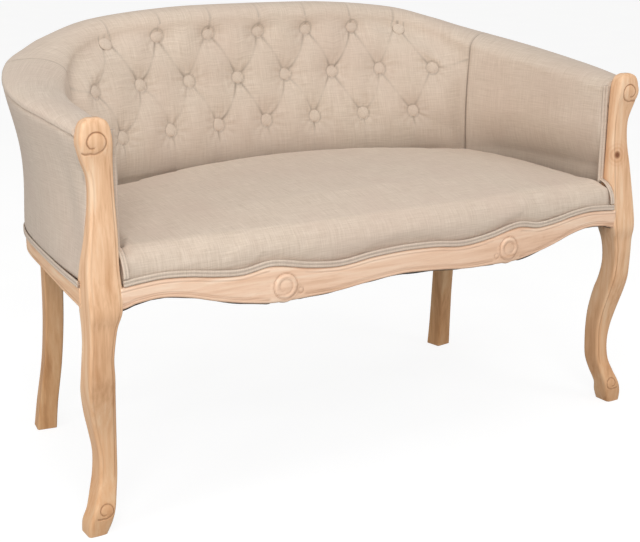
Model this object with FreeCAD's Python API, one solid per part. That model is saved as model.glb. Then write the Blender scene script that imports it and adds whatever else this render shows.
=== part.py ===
import FreeCAD, Part
import math
import os

V = FreeCAD.Vector

# Small two-seat settee: carved wooden show frame with cabriole front legs, a tight crowned seat
# and a deep-buttoned tub back. Millimetres, -Y is the front and +Z is up. Left and right are as
# seen from the front, so +X is right. Every y is measured from the front faces of the posts while
# modelling, and the finished pieces are moved so that the origin is on the floor below the middle.

# Driving sizes of the whole settee
overall_height = 811.0
half_width = 597.0
back_depth = 562.0
post_height = 684.0
post_inner_x = 520.0
seat_rail_top = 418.0
seat_rail_height = 35.0
rail_thickness = 30.0
wall_thickness = 100.0
seat_crown_height = 506.0

# Clearances and overruns
fit_gap = 0.3
mortise_gap = 0.25
overrun = 40.0

# Front posts with their cabriole legs, in shares of post_height and of post_block
post_block = 57.0
post_corner = 4.0
post_rear_corner = 2.5
post_shares = (
    # height, inner edge, outer edge, front, rear
    (0.000, 0.65, 1.22, 0.23, 0.88),
    (0.030, 0.50, 1.20, 0.17, 0.86),
    (0.062, 0.40, 1.07, 0.14, 0.81),
    (0.100, 0.29, 0.88, 0.28, 1.00),
    (0.139, 0.19, 0.74, 0.42, 1.12),
    (0.190, 0.15, 0.70, 0.47, 1.14),
    (0.241, 0.14, 0.79, 0.46, 1.13),
    (0.292, 0.17, 0.91, 0.35, 1.09),
    (0.351, 0.23, 1.02, 0.16, 0.95),
    (0.395, 0.27, 1.05, 0.02, 0.77),
    (0.439, 0.30, 1.04, -0.04, 0.67),
    (0.482, 0.26, 1.01, -0.09, 0.64),
    (0.519, 0.18, 1.00, -0.11, 0.67),
    (0.556, 0.05, 1.00, -0.18, 0.74),
    (0.600, 0.00, 1.00, -0.12, 0.79),
    (0.658, 0.02, 0.96, -0.02, 0.70),
    (0.731, 0.00, 0.84, 0.05, 0.54),
    (0.804, 0.00, 0.72, 0.14, 0.52),
    (0.863, 0.01, 0.71, 0.16, 0.52),
    (0.906, 0.02, 0.87, 0.12, 0.52),
    (0.944, 0.04, 0.98, 0.02, 0.52),
    (0.975, 0.08, 0.94, 0.03, 0.51),
    (1.000, 0.28, 0.74, 0.14, 0.46),
)
post_back_y = 30.0
post_steps = 2

# Carved roundels on the post heads, the toes and the front rail
head_roundel_x = 550.0
head_roundel_z = 650.0
head_roundel_radius = 16.5
toe_roundel_x = 559.0
toe_roundel_z = 42.5
toe_roundel_radius = 11.0
toe_roundel_depth = 12.0
roundel_relief = 2.5
post_front_at_head = 1.5
roundel_root = 12.0
rosette_x = 239.0
rosette_z = 383.0
rosette_radius = 22.0
rosette_lobe_radius = 29.5
lobe_sides = 24

# Front rail: bowed in plan, serpentine in elevation
front_rail_top_shares = (
    # place across half the rail, height above the crest line in rail heights
    (0.000, -0.20), (0.125, -0.27), (0.250, -0.46), (0.365, -0.32), (0.504, 0.02),
    (0.608, -0.20), (0.696, -0.12), (0.785, 0.06), (0.875, 0.14), (0.960, 0.06), (1.000, 0.00),
)
front_rail_bottom_shares = (
    (0.000, -1.37), (0.135, -1.50), (0.270, -1.70), (0.385, -1.76), (0.500, -1.78),
    (0.600, -1.58), (0.690, -1.30), (0.788, -0.92), (0.877, -0.74), (0.960, -0.84), (1.000, -1.00),
)
front_rail_bow = 27.5
front_rail_bow_rise_share = 0.72
front_rail_bow_power = 1.6
front_rail_lip = 14.0
front_rail_back_y = 24.0
bead_width = 6.0
front_rail_steps = 48
front_rail_reach = 560.0
field_recess = 2.2
tenon_length = 26.0
tenon_thickness = 11.0
tenon_height = 20.0
tenon_front_y = 8.0

# Side and back seat rails: an outer step for the cloth, an inner ledge for the webbing
tack_height = 24.0
ledge_drop = 18.0
ledge_width = 12.0
side_rail_arch = 7.0
groove_height = 9.0
groove_size = 1.6

# Rear legs: turned slightly outward, swept back, carried up as stiles
rear_leg_turn = 8.6
rear_leg_shares = (
    # height share of the stile, centre x in half widths, centre y in back depths, share of the side
    (0.000, 0.8157, 0.9039, 1.06), (0.080, 0.8091, 0.8879, 1.00), (0.200, 0.7953, 0.8610, 0.96),
    (0.320, 0.7889, 0.8417, 0.97), (0.440, 0.7870, 0.8327, 1.00), (0.520, 0.7870, 0.8308, 1.05),
    (0.610, 0.7870, 0.8289, 0.78), (1.000, 0.7755, 0.8539, 0.72),
)
rear_leg_side = 36.0
rear_leg_bends = 6
leg_steps = 2
stile_height_share = 0.8804

# Stations round one half of the tub wall, from the post to the middle of the back:
# x and y of the roll's inner edge in shares of half_width and of the way to the back, the outward
# direction in degrees, then how far outward the outer top, the outer bottom and the inner bottom
# lie and how far the outside bows, in shares of wall_thickness, and the height of the top
wall_shares = (
    (0.8560, 0.0000, 0.0, 0.66, 0.67, 0.00, -0.13, 0.8310),
    (0.8509, 0.1780, 0.0, 0.81, 0.63, -0.02, -0.03, 0.8480),
    (0.8442, 0.3420, 2.0, 0.92, 0.58, -0.01, 0.02, 0.8620),
    (0.8157, 0.4990, 8.0, 1.02, 0.65, -0.02, 0.02, 0.8800),
    (0.7554, 0.6520, 27.0, 1.08, 0.90, -0.09, 0.02, 0.9070),
    (0.7203, 0.7235, 44.0, 0.95, 0.97, -0.20, 0.02, 0.9270),
    (0.6700, 0.7875, 54.0, 0.81, 0.70, -0.40, 0.02, 0.9470),
    (0.5444, 0.8570, 68.0, 0.64, 0.28, -0.45, 0.02, 0.9760),
    (0.2848, 0.8646, 83.0, 0.68, 0.27, -0.50, 0.02, 0.9950),
    (0.0000, 0.8646, 90.0, 0.72, 0.29, -0.52, 0.02, 0.9980),
)
seam_station = 4
steps_per_place = 2
roll_outer_via_shares = (0.92, 0.34)
roll_crown_share = 0.56
roll_inner_via_shares = (0.13, 0.36)
roll_outer_drop = 14.0
roll_inner_drop = 28.0
outer_panel_thickness = 5.0
wall_frame_thickness = 24.0
panel_gap = 2.0
pad_bulge = 7.0
pad_low_z = 430.0
pad_contact_z = 498.0
top_rail_height = 42.0

# Deep-buttoned inside back
button_pitch = 111.5
button_radius = 14.0
button_thickness = 8.0
button_rim = 3.0
button_crown_share = 0.6
button_sides = 12
tuft_rows = (
    # height share of overall_height, buttons, pitch share, centre y share of back_depth,
    # forward curve of the outermost buttons in pitches, power of that curve
    (0.713, 7, 1.013, 0.833, 0.41, 2.0),
    (0.822, 8, 0.990, 0.867, 0.52, 3.0),
    (0.932, 7, 0.990, 0.895, 0.07, 3.0),
)
tuft_tilt = 12.0
tuft_seat_half = 9.0
tuft_pleat_half = 3.0
tuft_shoulder = 0.3
tuft_crown = 21.0
tuft_mid_crown = 13.0
tuft_mid_rise = 7.0
tuft_low_crown = 12.0
tuft_end_crown = 6.0
tuft_end_hollow = 10.0
tuft_low_z = 505.0
tuft_low_y_share = 0.800
tuft_top_rise = 40.0
button_seat_depth = 1.0

# Welts and piping
welt_width = 12.0
welt_base = 2.5
welt_bulge = 3.0
welt_lap = 1.0
welt_lift = 0.6
post_welt_width = 10.0
post_welt_low_z = 470.0
corner_welt_run = 34.0
corner_welt_rise = 44.0
corner_welt_low_z = 431.5

# Tight seat: rounded front edge, crowned top, higher towards the back
seat_front_z = 440.0
seat_edge_z = 474.0
seat_edge_setback = 36.0
seat_front_bulge = 5.0
seat_back_z = 508.0
seat_side_fall = 30.0
seat_edge_fall = 4.0
seat_back_fall = 18.0
seat_mid_y = 210.0
seat_section_shares = (0.0, 0.15, 0.3, 0.45, 0.58, 0.7, 0.8, 0.9, 1.0)
seat_inset = 2.4
seat_swell = 6.0

# Seat platform
strap_width = 58.0
long_strap_span = 440.0
strap_thickness = 2.0
cross_strap_count = 9
long_strap_count = 3
hessian_thickness = 1.5
corner_block_leg = 89.0
corner_block_height = 12.0
rear_block_depth = 42.0
rear_block_places = (4.2, 5.0, 5.9)
dust_cover_thickness = 1.5
dust_cover_margin = 10.0
dowel_radius = 4.0
dowel_sides = 8
dowel_length = 36.0
upright_thickness = 20.0
upright_setback = 2.0
upright_places = (7.85, 8.15)
dowel_rail_setback = 13.0
leg_dowel_offset = 20.0
front_block_reach = 20.0
back_strap_places = (6.6, 7.45, 8.55, 9.0)
arm_strap_places = (1.2, 2.5, 3.6)

# Places that follow from the sizes above
stile_height = stile_height_share * overall_height
wall_start_y = post_back_y + fit_gap
last_place = len(wall_shares) - 1
stile_place = seam_station + 1
seat_rail_bottom = seat_rail_top - seat_rail_height
ledge_z = seat_rail_top - ledge_drop
frame_inset = outer_panel_thickness + panel_gap
pad_back_gap = strap_thickness + 2 * fit_gap
seat_low_z = ledge_z + 2 * strap_thickness + hessian_thickness
front_most_y = welt_lap - front_rail_bow - welt_bulge
depth_shift = -(front_most_y + back_depth) / 2


def outline(first, *steps):
    """Closed wire of lines, or of an arc where a step is a pair (through, end)."""
    edges = []
    here = first
    for step in steps:
        through, there = step if isinstance(step, tuple) else (None, step)
        curve = Part.Arc(here, through, there) if through else Part.LineSegment(here, there)
        edges.append(curve.toShape())
        here = there
    if (here - first).Length > 0:
        edges.append(Part.LineSegment(here, first).toShape())
    return Part.Wire(edges)


def spline(points):
    curve = Part.BSplineCurve()
    curve.interpolate(points)
    return curve.toShape()


def prism(wire, along):
    return Part.Face(wire).extrude(along)


def mirrored(shape):
    return shape.mirror(V(0, 0, 0), V(1, 0, 0))


def both_sides(shape):
    return shape.fuse(mirrored(shape))


def largest(shape):
    return max(shape.Solids, key=lambda solid: solid.Volume)


def box_between(low, high):
    size = high - low
    return Part.makeBox(size.x, size.y, size.z, low)


def symmetric(values):
    """Places given from the middle outwards, completed to the other side."""
    return [-x for x in reversed(values[1:])] + list(values)


def smooth_row(rows, place):
    """Row of a table at any place, on a curve that passes smoothly through the rows."""
    last = len(rows) - 1
    low = min(int(place), last - 1)
    t = place - low
    before, here, there, after = [rows[min(max(low + k, 0), last)] for k in (-1, 0, 1, 2)]
    row = []
    for a, b, c, d in zip(before, here, there, after):
        leave, arrive = (c - a) / 2, (d - b) / 2
        row.append(b + leave * t + (3 * (c - b) - 2 * leave - arrive) * t ** 2
                   + (2 * (b - c) + leave + arrive) * t ** 3)
    return row


def smooth_rows(rows, steps):
    return [smooth_row(rows, k / steps) for k in range((len(rows) - 1) * steps + 1)]


def flat_loft(wires):
    """Solid through flat closed wires of equal count, joined by flat triangles.

    Each strip is split from the low end at the arms to the high end at the back, on both sides
    and in every piece, so that the faces of neighbours stay parallel.
    """
    rings = [[vertex.Point for vertex in wire.OrderedVertexes] for wire in wires]
    faces = [Part.Face(wires[0]), Part.Face(wires[-1])]
    for near, far in zip(rings, rings[1:]):
        near_outside = abs(near[0].x) > abs(far[0].x)
        for k in range(len(near)):
            a, b, c, d = near[k - 1], near[k], far[k], far[k - 1]
            a_below = (round(a.z, 3), math.hypot(a.x, a.y)) < (round(b.z, 3), math.hypot(b.x, b.y))
            corners = [a, b, c, d] if a_below == near_outside else [b, c, d, a]
            for i, j, m in ((0, 1, 2), (0, 2, 3)):
                faces.append(Part.Face(Part.makePolygon(
                    [corners[i], corners[j], corners[m], corners[i]])))
    shell = Part.makeShell(faces)
    shell.sewShape()
    solid = Part.makeSolid(shell)
    return solid if solid.Volume > 0 else solid.reversed()


def regular_outline(centre, axis, radius, sides):
    """Regular polygon round an axis."""
    across = axis.cross(V(0, 0, 1) if abs(axis.z) < 0.9 else V(1, 0, 0)).normalize()
    other = axis.cross(across).normalize()
    turns = [2 * math.pi * k / sides for k in range(sides + 1)]
    return Part.makePolygon([
        centre + across * (radius * math.cos(a)) + other * (radius * math.sin(a)) for a in turns])


def round_bar(radius, start, along, sides):
    return prism(regular_outline(start, along, radius, sides), along)


class Station:
    """One upright section plane of the tub wall: place 0 is at the post, the last at mid-back."""

    def __init__(self, place, side=1):
        x, y, turn, top_out, low_out, low_in, bow, height = smooth_row(wall_shares, place)
        angle = math.radians(turn)
        self.origin = V(side * x * half_width, wall_start_y + y * (back_depth - wall_start_y), 0)
        self.out = V(side * math.cos(angle), math.sin(angle), 0)
        self.along = V(-side * math.sin(angle), math.cos(angle), 0)
        self.top = height * overall_height
        self.top_out = top_out * wall_thickness
        self.low_out = low_out * wall_thickness
        self.low_in = low_in * wall_thickness
        self.bow = bow * wall_thickness
        self.arch = math.sin(math.pi * min(place / stile_place, 1))

    def point(self, outward, z):
        return self.origin + self.out * outward + V(0, 0, z)

    def outer(self, z):
        share = max((z - seat_rail_top) / (self.top - roll_outer_drop - seat_rail_top), 0)
        straight = self.low_out + (self.top_out - self.low_out) * share
        return straight + 4 * self.bow * share * (1 - share)

    def frame_inside(self):
        """Inner faces of the hidden frame, as (outward, height) from the seat rail to the roll."""
        high = self.top - roll_inner_drop - fit_gap
        low = high - top_rail_height
        depth = frame_inset + wall_frame_thickness
        return [(self.low_out - depth, pad_low_z),
                (self.outer(low) - depth, low), (self.outer(high) - depth, high)]

    def inner(self, z):
        share = max((z - pad_contact_z) / (self.top - roll_inner_drop - pad_contact_z), 0)
        return self.low_in * (1 - share) - 4 * pad_bulge * share * (1 - share)


def beyond(place, gap):
    """Everything past the plane of a right-hand place, towards the middle of the back."""
    station = Station(place)
    near = station.origin + station.along * gap
    reach = 2 * half_width
    corners = [near - station.out * reach, near + station.out * half_width]
    corners += [corners[1] + station.along * reach, corners[0] + station.along * reach]
    return prism(Part.makePolygon(corners + corners[:1]), V(0, 0, overall_height + overrun))


def split(shape, place):
    """Left arm, back and right arm of a piece that runs all the way round."""
    past = beyond(place, fit_gap / 2)
    back = largest(shape.common(past).common(mirrored(past)))
    right = largest(shape.cut(beyond(place, -fit_gap / 2)))
    return mirrored(right), back, right


def across_stations(first, steps=1):
    """Stations from a place on the left, round the back, to the same place on the right."""
    places = [first + k / steps for k in range((last_place - first) * steps + 1)]
    return [Station(p, -1) for p in places] + [Station(p) for p in reversed(places[:-1])]


def wall_loft(section):
    """Carry a section from one post round the back to the other post."""
    return flat_loft([section(station) for station in across_stations(0, steps_per_place)])


# Front posts and legs

def post_section(row, extra):
    height, inner, outer, front, rear = row
    z = height * post_height
    left = post_inner_x + inner * post_block - extra
    right = post_inner_x + outer * post_block + extra
    near = front * post_block - extra
    far = rear * post_block + extra
    r, s = post_corner, post_rear_corner
    return outline(
        V(left + r, near, z), V(right - r, near, z), V(right, near + r, z), V(right, far - s, z),
        V(right - s, far, z), V(left + s, far, z), V(left, far - s, z), V(left, near + r, z),
        V(left + r, near, z))


def post_blank(extra):
    return flat_loft([post_section(row, extra) for row in smooth_rows(post_shares, post_steps)])


def roundel(radius, x, y, z):
    """A turned boss facing the front: raised rim with sloping flanks round a low centre."""
    crest, floor = y - roundel_relief, y - roundel_relief / 2
    steps = [(1, y), (0.9, crest), (0.78, crest), (0.62, floor), (0.3, floor), (0, crest)]
    points = [V(x + radius * share, depth, z) for share, depth in steps]
    start = V(x, y + roundel_root, z)
    profile = outline(start, V(x + radius, y + roundel_root, z), *points)
    return Part.Face(profile).revolve(start, V(0, 1, 0), 360)


def tenon(extra):
    end = V(post_inner_x + tenon_length + extra, tenon_front_y + tenon_thickness + extra,
            (ledge_z + seat_rail_bottom) / 2 + tenon_height / 2 + extra)
    start = V(post_inner_x - overrun, tenon_front_y - extra, end.z - tenon_height - 2 * extra)
    return box_between(start, end)


# Front rail

def bow_y(x):
    share = min(abs(x) / post_inner_x, 1)
    rise = (1 - math.cos(math.pi * share ** front_rail_bow_power)) / 2
    return -front_rail_bow * (1 - front_rail_bow_rise_share * rise)


def bow_curve(offset, z):
    half = post_inner_x + overrun
    steps = 14
    xs = [half * (2 * i / steps - 1) for i in range(steps + 1)]
    return [V(x, bow_y(x) + offset, z) for x in xs]


def bowed_front(offset):
    """Everything in front of the bowed face moved back by offset."""
    points = bow_curve(offset, -overrun)
    near = -front_rail_bow - 2 * overrun
    corners = [V(points[-1].x, near, -overrun), V(points[0].x, near, -overrun)]
    sides = [Part.makePolygon([points[-1]] + corners + [points[0]])]
    wire = Part.Wire([spline(points)] + sides[0].Edges)
    return prism(wire, V(0, 0, overall_height))


def serpentine_below(rise, depth):
    """Everything below the serpentine top edge lifted by rise."""
    xs = rail_places(front_rail_reach)
    base = seat_rail_bottom - 2 * seat_rail_height
    points = [V(x, 0, rail_edge(front_rail_top_shares, x) + rise) for x in xs]
    points += [V(xs[-1], 0, base), V(xs[0], 0, base)]
    solid = prism(Part.makePolygon(points + points[:1]), V(0, depth, 0))
    solid.translate(V(0, -front_rail_bow - overrun, 0))
    return solid


def rail_places(half):
    """Evenly spaced places along the rail, closed off at half its length."""
    step = 2 * front_rail_reach / front_rail_steps
    inner = [(k - front_rail_steps / 2) * step for k in range(front_rail_steps + 1)]
    return [-half] + [x for x in inner if abs(x) < half] + [half]


def rail_edge(shares, x):
    """Height of a serpentine edge at x."""
    place = min(abs(x) / post_inner_x, 1)
    for k in range(len(shares) - 1):
        start, end = shares[k][0], shares[k + 1][0]
        if place <= end:
            height = smooth_row(shares, k + (place - start) / (end - start))[1]
            return seat_rail_top + height * seat_rail_height


def front_rail_section(x):
    """Beads along both edges of a recessed field, a lip for the cord and a ledge behind it."""
    y, low, high = bow_y(x), rail_edge(front_rail_bottom_shares, x), rail_edge(front_rail_top_shares, x)
    slope = bead_width + field_recess
    profile = [
        (y, low), (y, low + bead_width), (y + field_recess, low + slope),
        (y + field_recess, high - slope), (y, high - bead_width), (y, high),
        (y + front_rail_lip, high), (y + front_rail_lip, ledge_z),
        (front_rail_back_y, ledge_z), (front_rail_back_y, low), (y, low)]
    return Part.makePolygon([V(x, depth, z) for depth, z in profile])


def front_rail(post_cut):
    rail = flat_loft([front_rail_section(x) for x in rail_places(front_rail_reach)])
    face = bow_y(rosette_x)
    lobe = round_bar(rosette_lobe_radius, V(rosette_x, face, rosette_z),
                     V(0, front_rail_back_y - face, 0), lobe_sides)
    lobe = lobe.cut(box_between(V(0, -2 * overrun, rosette_z),
                                V(post_inner_x, 2 * overrun, overall_height)))
    boss = roundel(rosette_radius, rosette_x, face, rosette_z)
    rail = rail.fuse([lobe, mirrored(lobe), boss, mirrored(boss)])
    rail = rail.cut(post_cut).cut(mirrored(post_cut))
    rail = largest(rail)
    pegs = tenon(0)
    return rail.fuse([pegs, mirrored(pegs)]).removeSplitter()


def welt_section(corner, outward, upward, width):
    """Double cord: a flat tape with two half-round cords side by side."""
    half = upward * (width / 2)
    groove, crest = outward * welt_base, outward * (welt_base + welt_bulge)
    cord = [corner + groove + half / 8, corner + crest + half / 3,
            corner + crest + half * 2 / 3, corner + groove + half * 7 / 8]
    steps = cord + [point + half for point in cord]
    return outline(corner, *steps, corner + half * 2)


def front_welt(rise):
    """Double cord along the serpentine edge, standing on the rail's lip."""
    sections = []
    for x in rail_places(post_inner_x - fit_gap):
        z = rail_edge(front_rail_top_shares, x) + rise
        back = V(x, bow_y(x) + welt_base + welt_lap, z)
        sections.append(welt_section(back, V(0, -1, 0), V(0, 0, 1), welt_width))
    return flat_loft(sections)


# Rear legs with their stiles

def rear_leg(extra):
    """Square, turned a little outward, swept back below the seat and straight above it."""
    sections = []
    turn = math.radians(rear_leg_turn)
    across = V(math.cos(turn), math.sin(turn), 0)
    back = V(-math.sin(turn), math.cos(turn), 0)
    straight = list(rear_leg_shares[rear_leg_bends:])
    for height, x, y, side in smooth_rows(rear_leg_shares[:rear_leg_bends], leg_steps) + straight:
        centre = V(x * half_width, y * back_depth, height * stile_height)
        half = side * rear_leg_side / 2 + extra
        corners = [centre + across * (a * half) + back * (b * half)
                   for a, b in ((-1, -1), (1, -1), (1, 1), (-1, 1))]
        sections.append(Part.makePolygon(corners + corners[:1]))
    return flat_loft(sections)


# Seat rails at the sides and the back

def seat_rail_section(station):
    """Show face with a groove, outer step for the cloth, inner ledge for the webbing."""
    outer = station.low_out
    step_z = seat_rail_top + tack_height
    shelf = outer - rail_thickness + ledge_width
    inner = outer - rail_thickness
    low = seat_rail_bottom + side_rail_arch * station.arch
    groove = low + groove_height
    return outline(
        station.point(inner, seat_rail_bottom), station.point(outer, low),
        station.point(outer, groove), station.point(outer - groove_size, groove + groove_size),
        station.point(outer, groove + 2 * groove_size), station.point(outer, seat_rail_top),
        station.point(outer - frame_inset, seat_rail_top),
        station.point(station.outer(step_z) - frame_inset, step_z),
        station.point(shelf, step_z), station.point(shelf, ledge_z),
        station.point(inner, ledge_z))


# Top rails inside the roll

def top_rail_section(station):
    foot, (low_o, low), (high_o, high) = station.frame_inside()
    return outline(
        station.point(low_o + wall_frame_thickness, low),
        station.point(high_o + wall_frame_thickness, high),
        station.point(high_o, high), station.point(low_o, low))


# Upholstery of the wall

def panel_section(station):
    low = seat_rail_top + welt_width + 2 * fit_gap
    high = station.top - roll_outer_drop - fit_gap
    middle = (low + high) / 2
    inset = outer_panel_thickness
    face = [station.outer(z) for z in (low, middle, high)]
    return outline(
        station.point(face[0], low), station.point(face[1], middle), station.point(face[2], high),
        station.point(face[2] - inset, high),
        station.point(face[1] - inset, middle), station.point(face[0] - inset, low))


def roll_section(station):
    """Rounded top edge of the upholstery, hollowed over the top rail and the outer panel."""
    across = station.outer(station.top - roll_outer_drop)
    high, low = station.top - roll_outer_drop, station.top - roll_inner_drop
    hem, hem_low = across - frame_inset, station.outer(low) - frame_inset
    via = [(roll_outer_via_shares, roll_outer_drop), (roll_inner_via_shares, roll_inner_drop)]
    through = [station.point(across * shares[0], station.top - shares[1] * drop)
               for shares, drop in via]
    crown = station.point(across * roll_crown_share, station.top)
    rail_face = station.frame_inside()[-1][0]
    return outline(
        station.point(across, high), through[0], crown, through[1], station.point(0, low),
        station.point(rail_face, low), station.point(hem_low, low), station.point(hem, high))


def arm_pad_section(station):
    high = station.top - roll_inner_drop - fit_gap
    rear = [station.point(outward - pad_back_gap, z) for outward, z in station.frame_inside()]
    middle = (pad_contact_z + high) / 2
    return outline(
        station.point(station.low_in, pad_low_z), station.point(station.low_in, pad_contact_z),
        station.point(station.inner(middle), middle), station.point(station.inner(high), high),
        *reversed(rear))


def roof_section(station):
    """Everything above the underside of the roll."""
    low = station.top - roll_inner_drop - fit_gap
    high = station.top + overrun
    far = station.top_out + overrun
    rail_face = station.frame_inside()[-1][0]
    return outline(
        station.point(-overrun, low), station.point(0, low), station.point(rail_face, low),
        station.point(far, low), station.point(far, high), station.point(-overrun, high))


# Deep-buttoned back

def tuft_row(index):
    height, count, pitch_share, centre, curve, power = tuft_rows[index]
    pitch = button_pitch * pitch_share
    xs = [(k - (count - 1) / 2) * pitch for k in range(count)]

    def depth(x):
        return centre * back_depth - curve * button_pitch * (abs(x) / xs[-1]) ** power

    return height * overall_height, xs, pitch, depth


def seam_point(z, side):
    station = Station(seam_station, side)
    return station.point(station.inner(z), z)


def back_points(z):
    """The pad's hidden rear edge, station by station from right to left."""
    points = []
    for station in reversed(across_stations(seam_station, steps_per_place)):
        foot, middle, top = station.frame_inside()
        below, above = (foot, middle) if z < middle[1] else (middle, top)
        share = (z - below[1]) / (above[1] - below[1])
        outward = below[0] + (above[0] - below[0]) * share
        points.append(station.point(outward - pad_back_gap, z))
    return points


def tuft_section(z, xs, depth, odd_crown, even_crown, end_crown):
    """Scalloped front between the seams, with its cusps where the pleats run."""
    cusps = [V(x, depth(x), z) for x in xs]
    points = [seam_point(z, -1)] + cusps + [seam_point(z, 1)]
    crowns = [end_crown] + [even_crown, odd_crown] * (len(xs) // 2 - 1) + [even_crown, end_crown]
    steps = []
    for here, there, crown in zip(points, points[1:], crowns):
        chord = there - here
        inward = V(chord.y, -chord.x, 0).normalize() * crown
        steps += [here + chord * tuft_shoulder + inward, there - chord * tuft_shoulder + inward, there]
    return outline(points[0], *steps, *back_points(z))


def paired(xs, half):
    return [x + side * half for x in xs for side in (-1, 1)]


def tufted_pad_blank():
    low_z, low_xs, low_pitch, low_depth = tuft_row(0)
    mid_z, mid_xs, mid_pitch, mid_depth = tuft_row(1)
    top_z, top_xs, top_pitch, top_depth = tuft_row(2)
    flat = tuft_pleat_half / 10
    hem_depth = lambda x: low_depth(x) - (low_depth(0) - tuft_low_y_share * back_depth)
    hem_xs = paired(low_xs, tuft_pleat_half)

    def between(depth_a, depth_b):
        return lambda x: (depth_a(x) + depth_b(x)) / 2 - tuft_mid_rise

    middle_row = paired(mid_xs, tuft_seat_half)[1:-1]
    middle_row[0], middle_row[-1] = mid_xs[0], mid_xs[-1]
    return flat_loft([
        tuft_section(pad_low_z, hem_xs, hem_depth, tuft_low_crown, flat, -tuft_end_crown),
        tuft_section(tuft_low_z, hem_xs, hem_depth, tuft_low_crown, flat, -tuft_end_crown),
        tuft_section(low_z, paired(low_xs, tuft_seat_half), low_depth,
                     tuft_crown, flat, tuft_end_crown),
        tuft_section((low_z + mid_z) / 2, paired(low_xs, low_pitch / 4),
                     between(low_depth, mid_depth), tuft_mid_crown, tuft_mid_crown, tuft_end_crown),
        tuft_section(mid_z, middle_row, mid_depth, flat, tuft_crown, tuft_end_crown),
        tuft_section((mid_z + top_z) / 2, paired(top_xs, top_pitch / 4),
                     between(mid_depth, top_depth), tuft_mid_crown, tuft_mid_crown, flat),
        tuft_section(top_z, paired(top_xs, tuft_seat_half), top_depth,
                     tuft_crown, flat, -tuft_end_hollow),
        tuft_section(top_z + tuft_top_rise, paired(top_xs, tuft_pleat_half), top_depth,
                     tuft_mid_crown, flat, -tuft_end_hollow),
    ])


def button_places():
    """Centre of each button's seat and the way it faces."""
    places = []
    tilt = math.radians(tuft_tilt)
    for index in range(len(tuft_rows)):
        z, xs, pitch, depth = tuft_row(index)
        for x in xs:
            slope = (depth(x + button_radius) - depth(x - button_radius)) / (2 * button_radius)
            facing = V(slope, -1, 0).normalize() * math.cos(tilt) + V(0, 0, math.sin(tilt))
            places.append((V(x, depth(x) + button_seat_depth, z), facing))
    return places


def button(place, facing):
    """Cloth-covered button: flat back, upright rim and sloping crown."""
    start = place + facing * fit_gap
    rings = [(0, 1), (button_rim, 1), (button_thickness, button_crown_share)]
    return flat_loft([
        regular_outline(start + facing * height, facing, button_radius * share, button_sides)
        for height, share in rings])


def button_pocket(place, facing):
    return round_bar(button_radius + 2 * fit_gap, place, facing * (tuft_crown + overrun), button_sides)


# Tight seat

def seat_height(share):
    return 1 - share * share


def seat_section(x):
    dome = seat_height(x / post_inner_x)
    front = bow_y(x) + welt_lap
    edge = V(x, front + seat_edge_setback, seat_edge_z - seat_edge_fall * (1 - dome))
    middle_z = seat_crown_height - seat_side_fall * (1 - dome)
    back = V(x, back_depth, seat_back_z - seat_back_fall * (1 - dome))
    rise = edge.z - seat_front_z
    through = V(x, front + seat_front_bulge, seat_front_z + 0.72 * rise)
    middle = V(x, seat_mid_y, middle_z)
    return outline(
        V(x, front, seat_low_z), V(x, front, seat_front_z), through, edge,
        (edge + middle) * 0.5 + V(0, 0, seat_swell * dome), middle,
        (middle + back) * 0.5 + V(0, 0, seat_swell * dome), back, V(x, back_depth, seat_low_z))


def well_outline():
    """Plan of the space between the arm pads and the tufted back, drawn in by the inset."""
    z, xs, pitch, depth = tuft_row(0)
    forward = depth(0) - tuft_low_y_share * back_depth + tuft_low_crown + seat_inset
    places = [k / steps_per_place for k in range(seam_station * steps_per_place + 1)]
    side = [s.point(s.low_in - seat_inset, 0) for s in map(Station, places)]
    crowns = [(k - len(xs) / 2) * pitch for k in range(len(xs) - 1, 0, -1)]
    back = [V(x, depth(x) - forward, 0) for x in crowns]
    other_side = [V(-p.x, p.y, 0) for p in reversed(side)]
    between_posts = post_inner_x - 2 * fit_gap
    near = -front_rail_bow - overrun
    nose = Part.makePolygon([
        other_side[-1], V(-between_posts, side[0].y, 0), V(-between_posts, near, 0),
        V(between_posts, near, 0), V(between_posts, side[0].y, 0), side[0]])
    rear = spline([side[-1]] + back + [other_side[0]])
    return Part.Wire([spline(side), rear, spline(other_side)] + nose.Edges)


def seat_pad(post_cut):
    xs = [share * post_inner_x for share in symmetric(seat_section_shares)]
    crowned = flat_loft([seat_section(x) for x in xs])
    well = prism(well_outline(), V(0, 0, overall_height))
    seat = crowned.common(well)
    seat = seat.cut(serpentine_below(fit_gap, back_depth).common(bowed_front(front_rail_lip + fit_gap)))
    welt_top = welt_lift + welt_width + fit_gap
    seat = seat.cut(serpentine_below(welt_top, back_depth).common(
        bowed_front(welt_base + welt_lap + fit_gap)))
    return largest(seat.cut([post_cut, mirrored(post_cut)]))


# Seat platform

def beside(outward, low, high):
    """Everything further out than a distance inside the seat rails' outer faces."""
    def section(station):
        near, far = station.low_out - outward, station.low_out + overrun
        return outline(station.point(near, low), station.point(far, low),
                       station.point(far, high), station.point(near, high))

    return wall_loft(section)


def sheet_between(low, thickness, outward, front):
    """Flat sheet inside the seat rails and behind the front cutter."""
    size = V(half_width, back_depth, thickness)
    start = V(-half_width, -front_rail_bow - overrun, low)
    sheet = box_between(start, V(size.x, size.y, low + thickness))
    sheet = sheet.cut(front).cut(beside(outward, low - overrun, low + overrun))
    return largest(sheet)


def strap_row(sheet, count, span, along):
    """Evenly spaced straps cut from a sheet, across the seat or along it."""
    straps = []
    far = 2 * half_width
    for k in range(count):
        middle = ((k + 0.5) / count - 0.5) * span
        low = V(middle - strap_width / 2, -far, 0)
        high = V(middle + strap_width / 2, far, overall_height)
        if along:
            centre = V(0, back_depth / 2, 0)
            low = centre + V(-far, middle - strap_width / 2, 0)
            high = centre + V(far, middle + strap_width / 2, overall_height)
        straps.append(largest(sheet.common(box_between(low, high))))
    return Part.makeCompound(straps)


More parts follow.
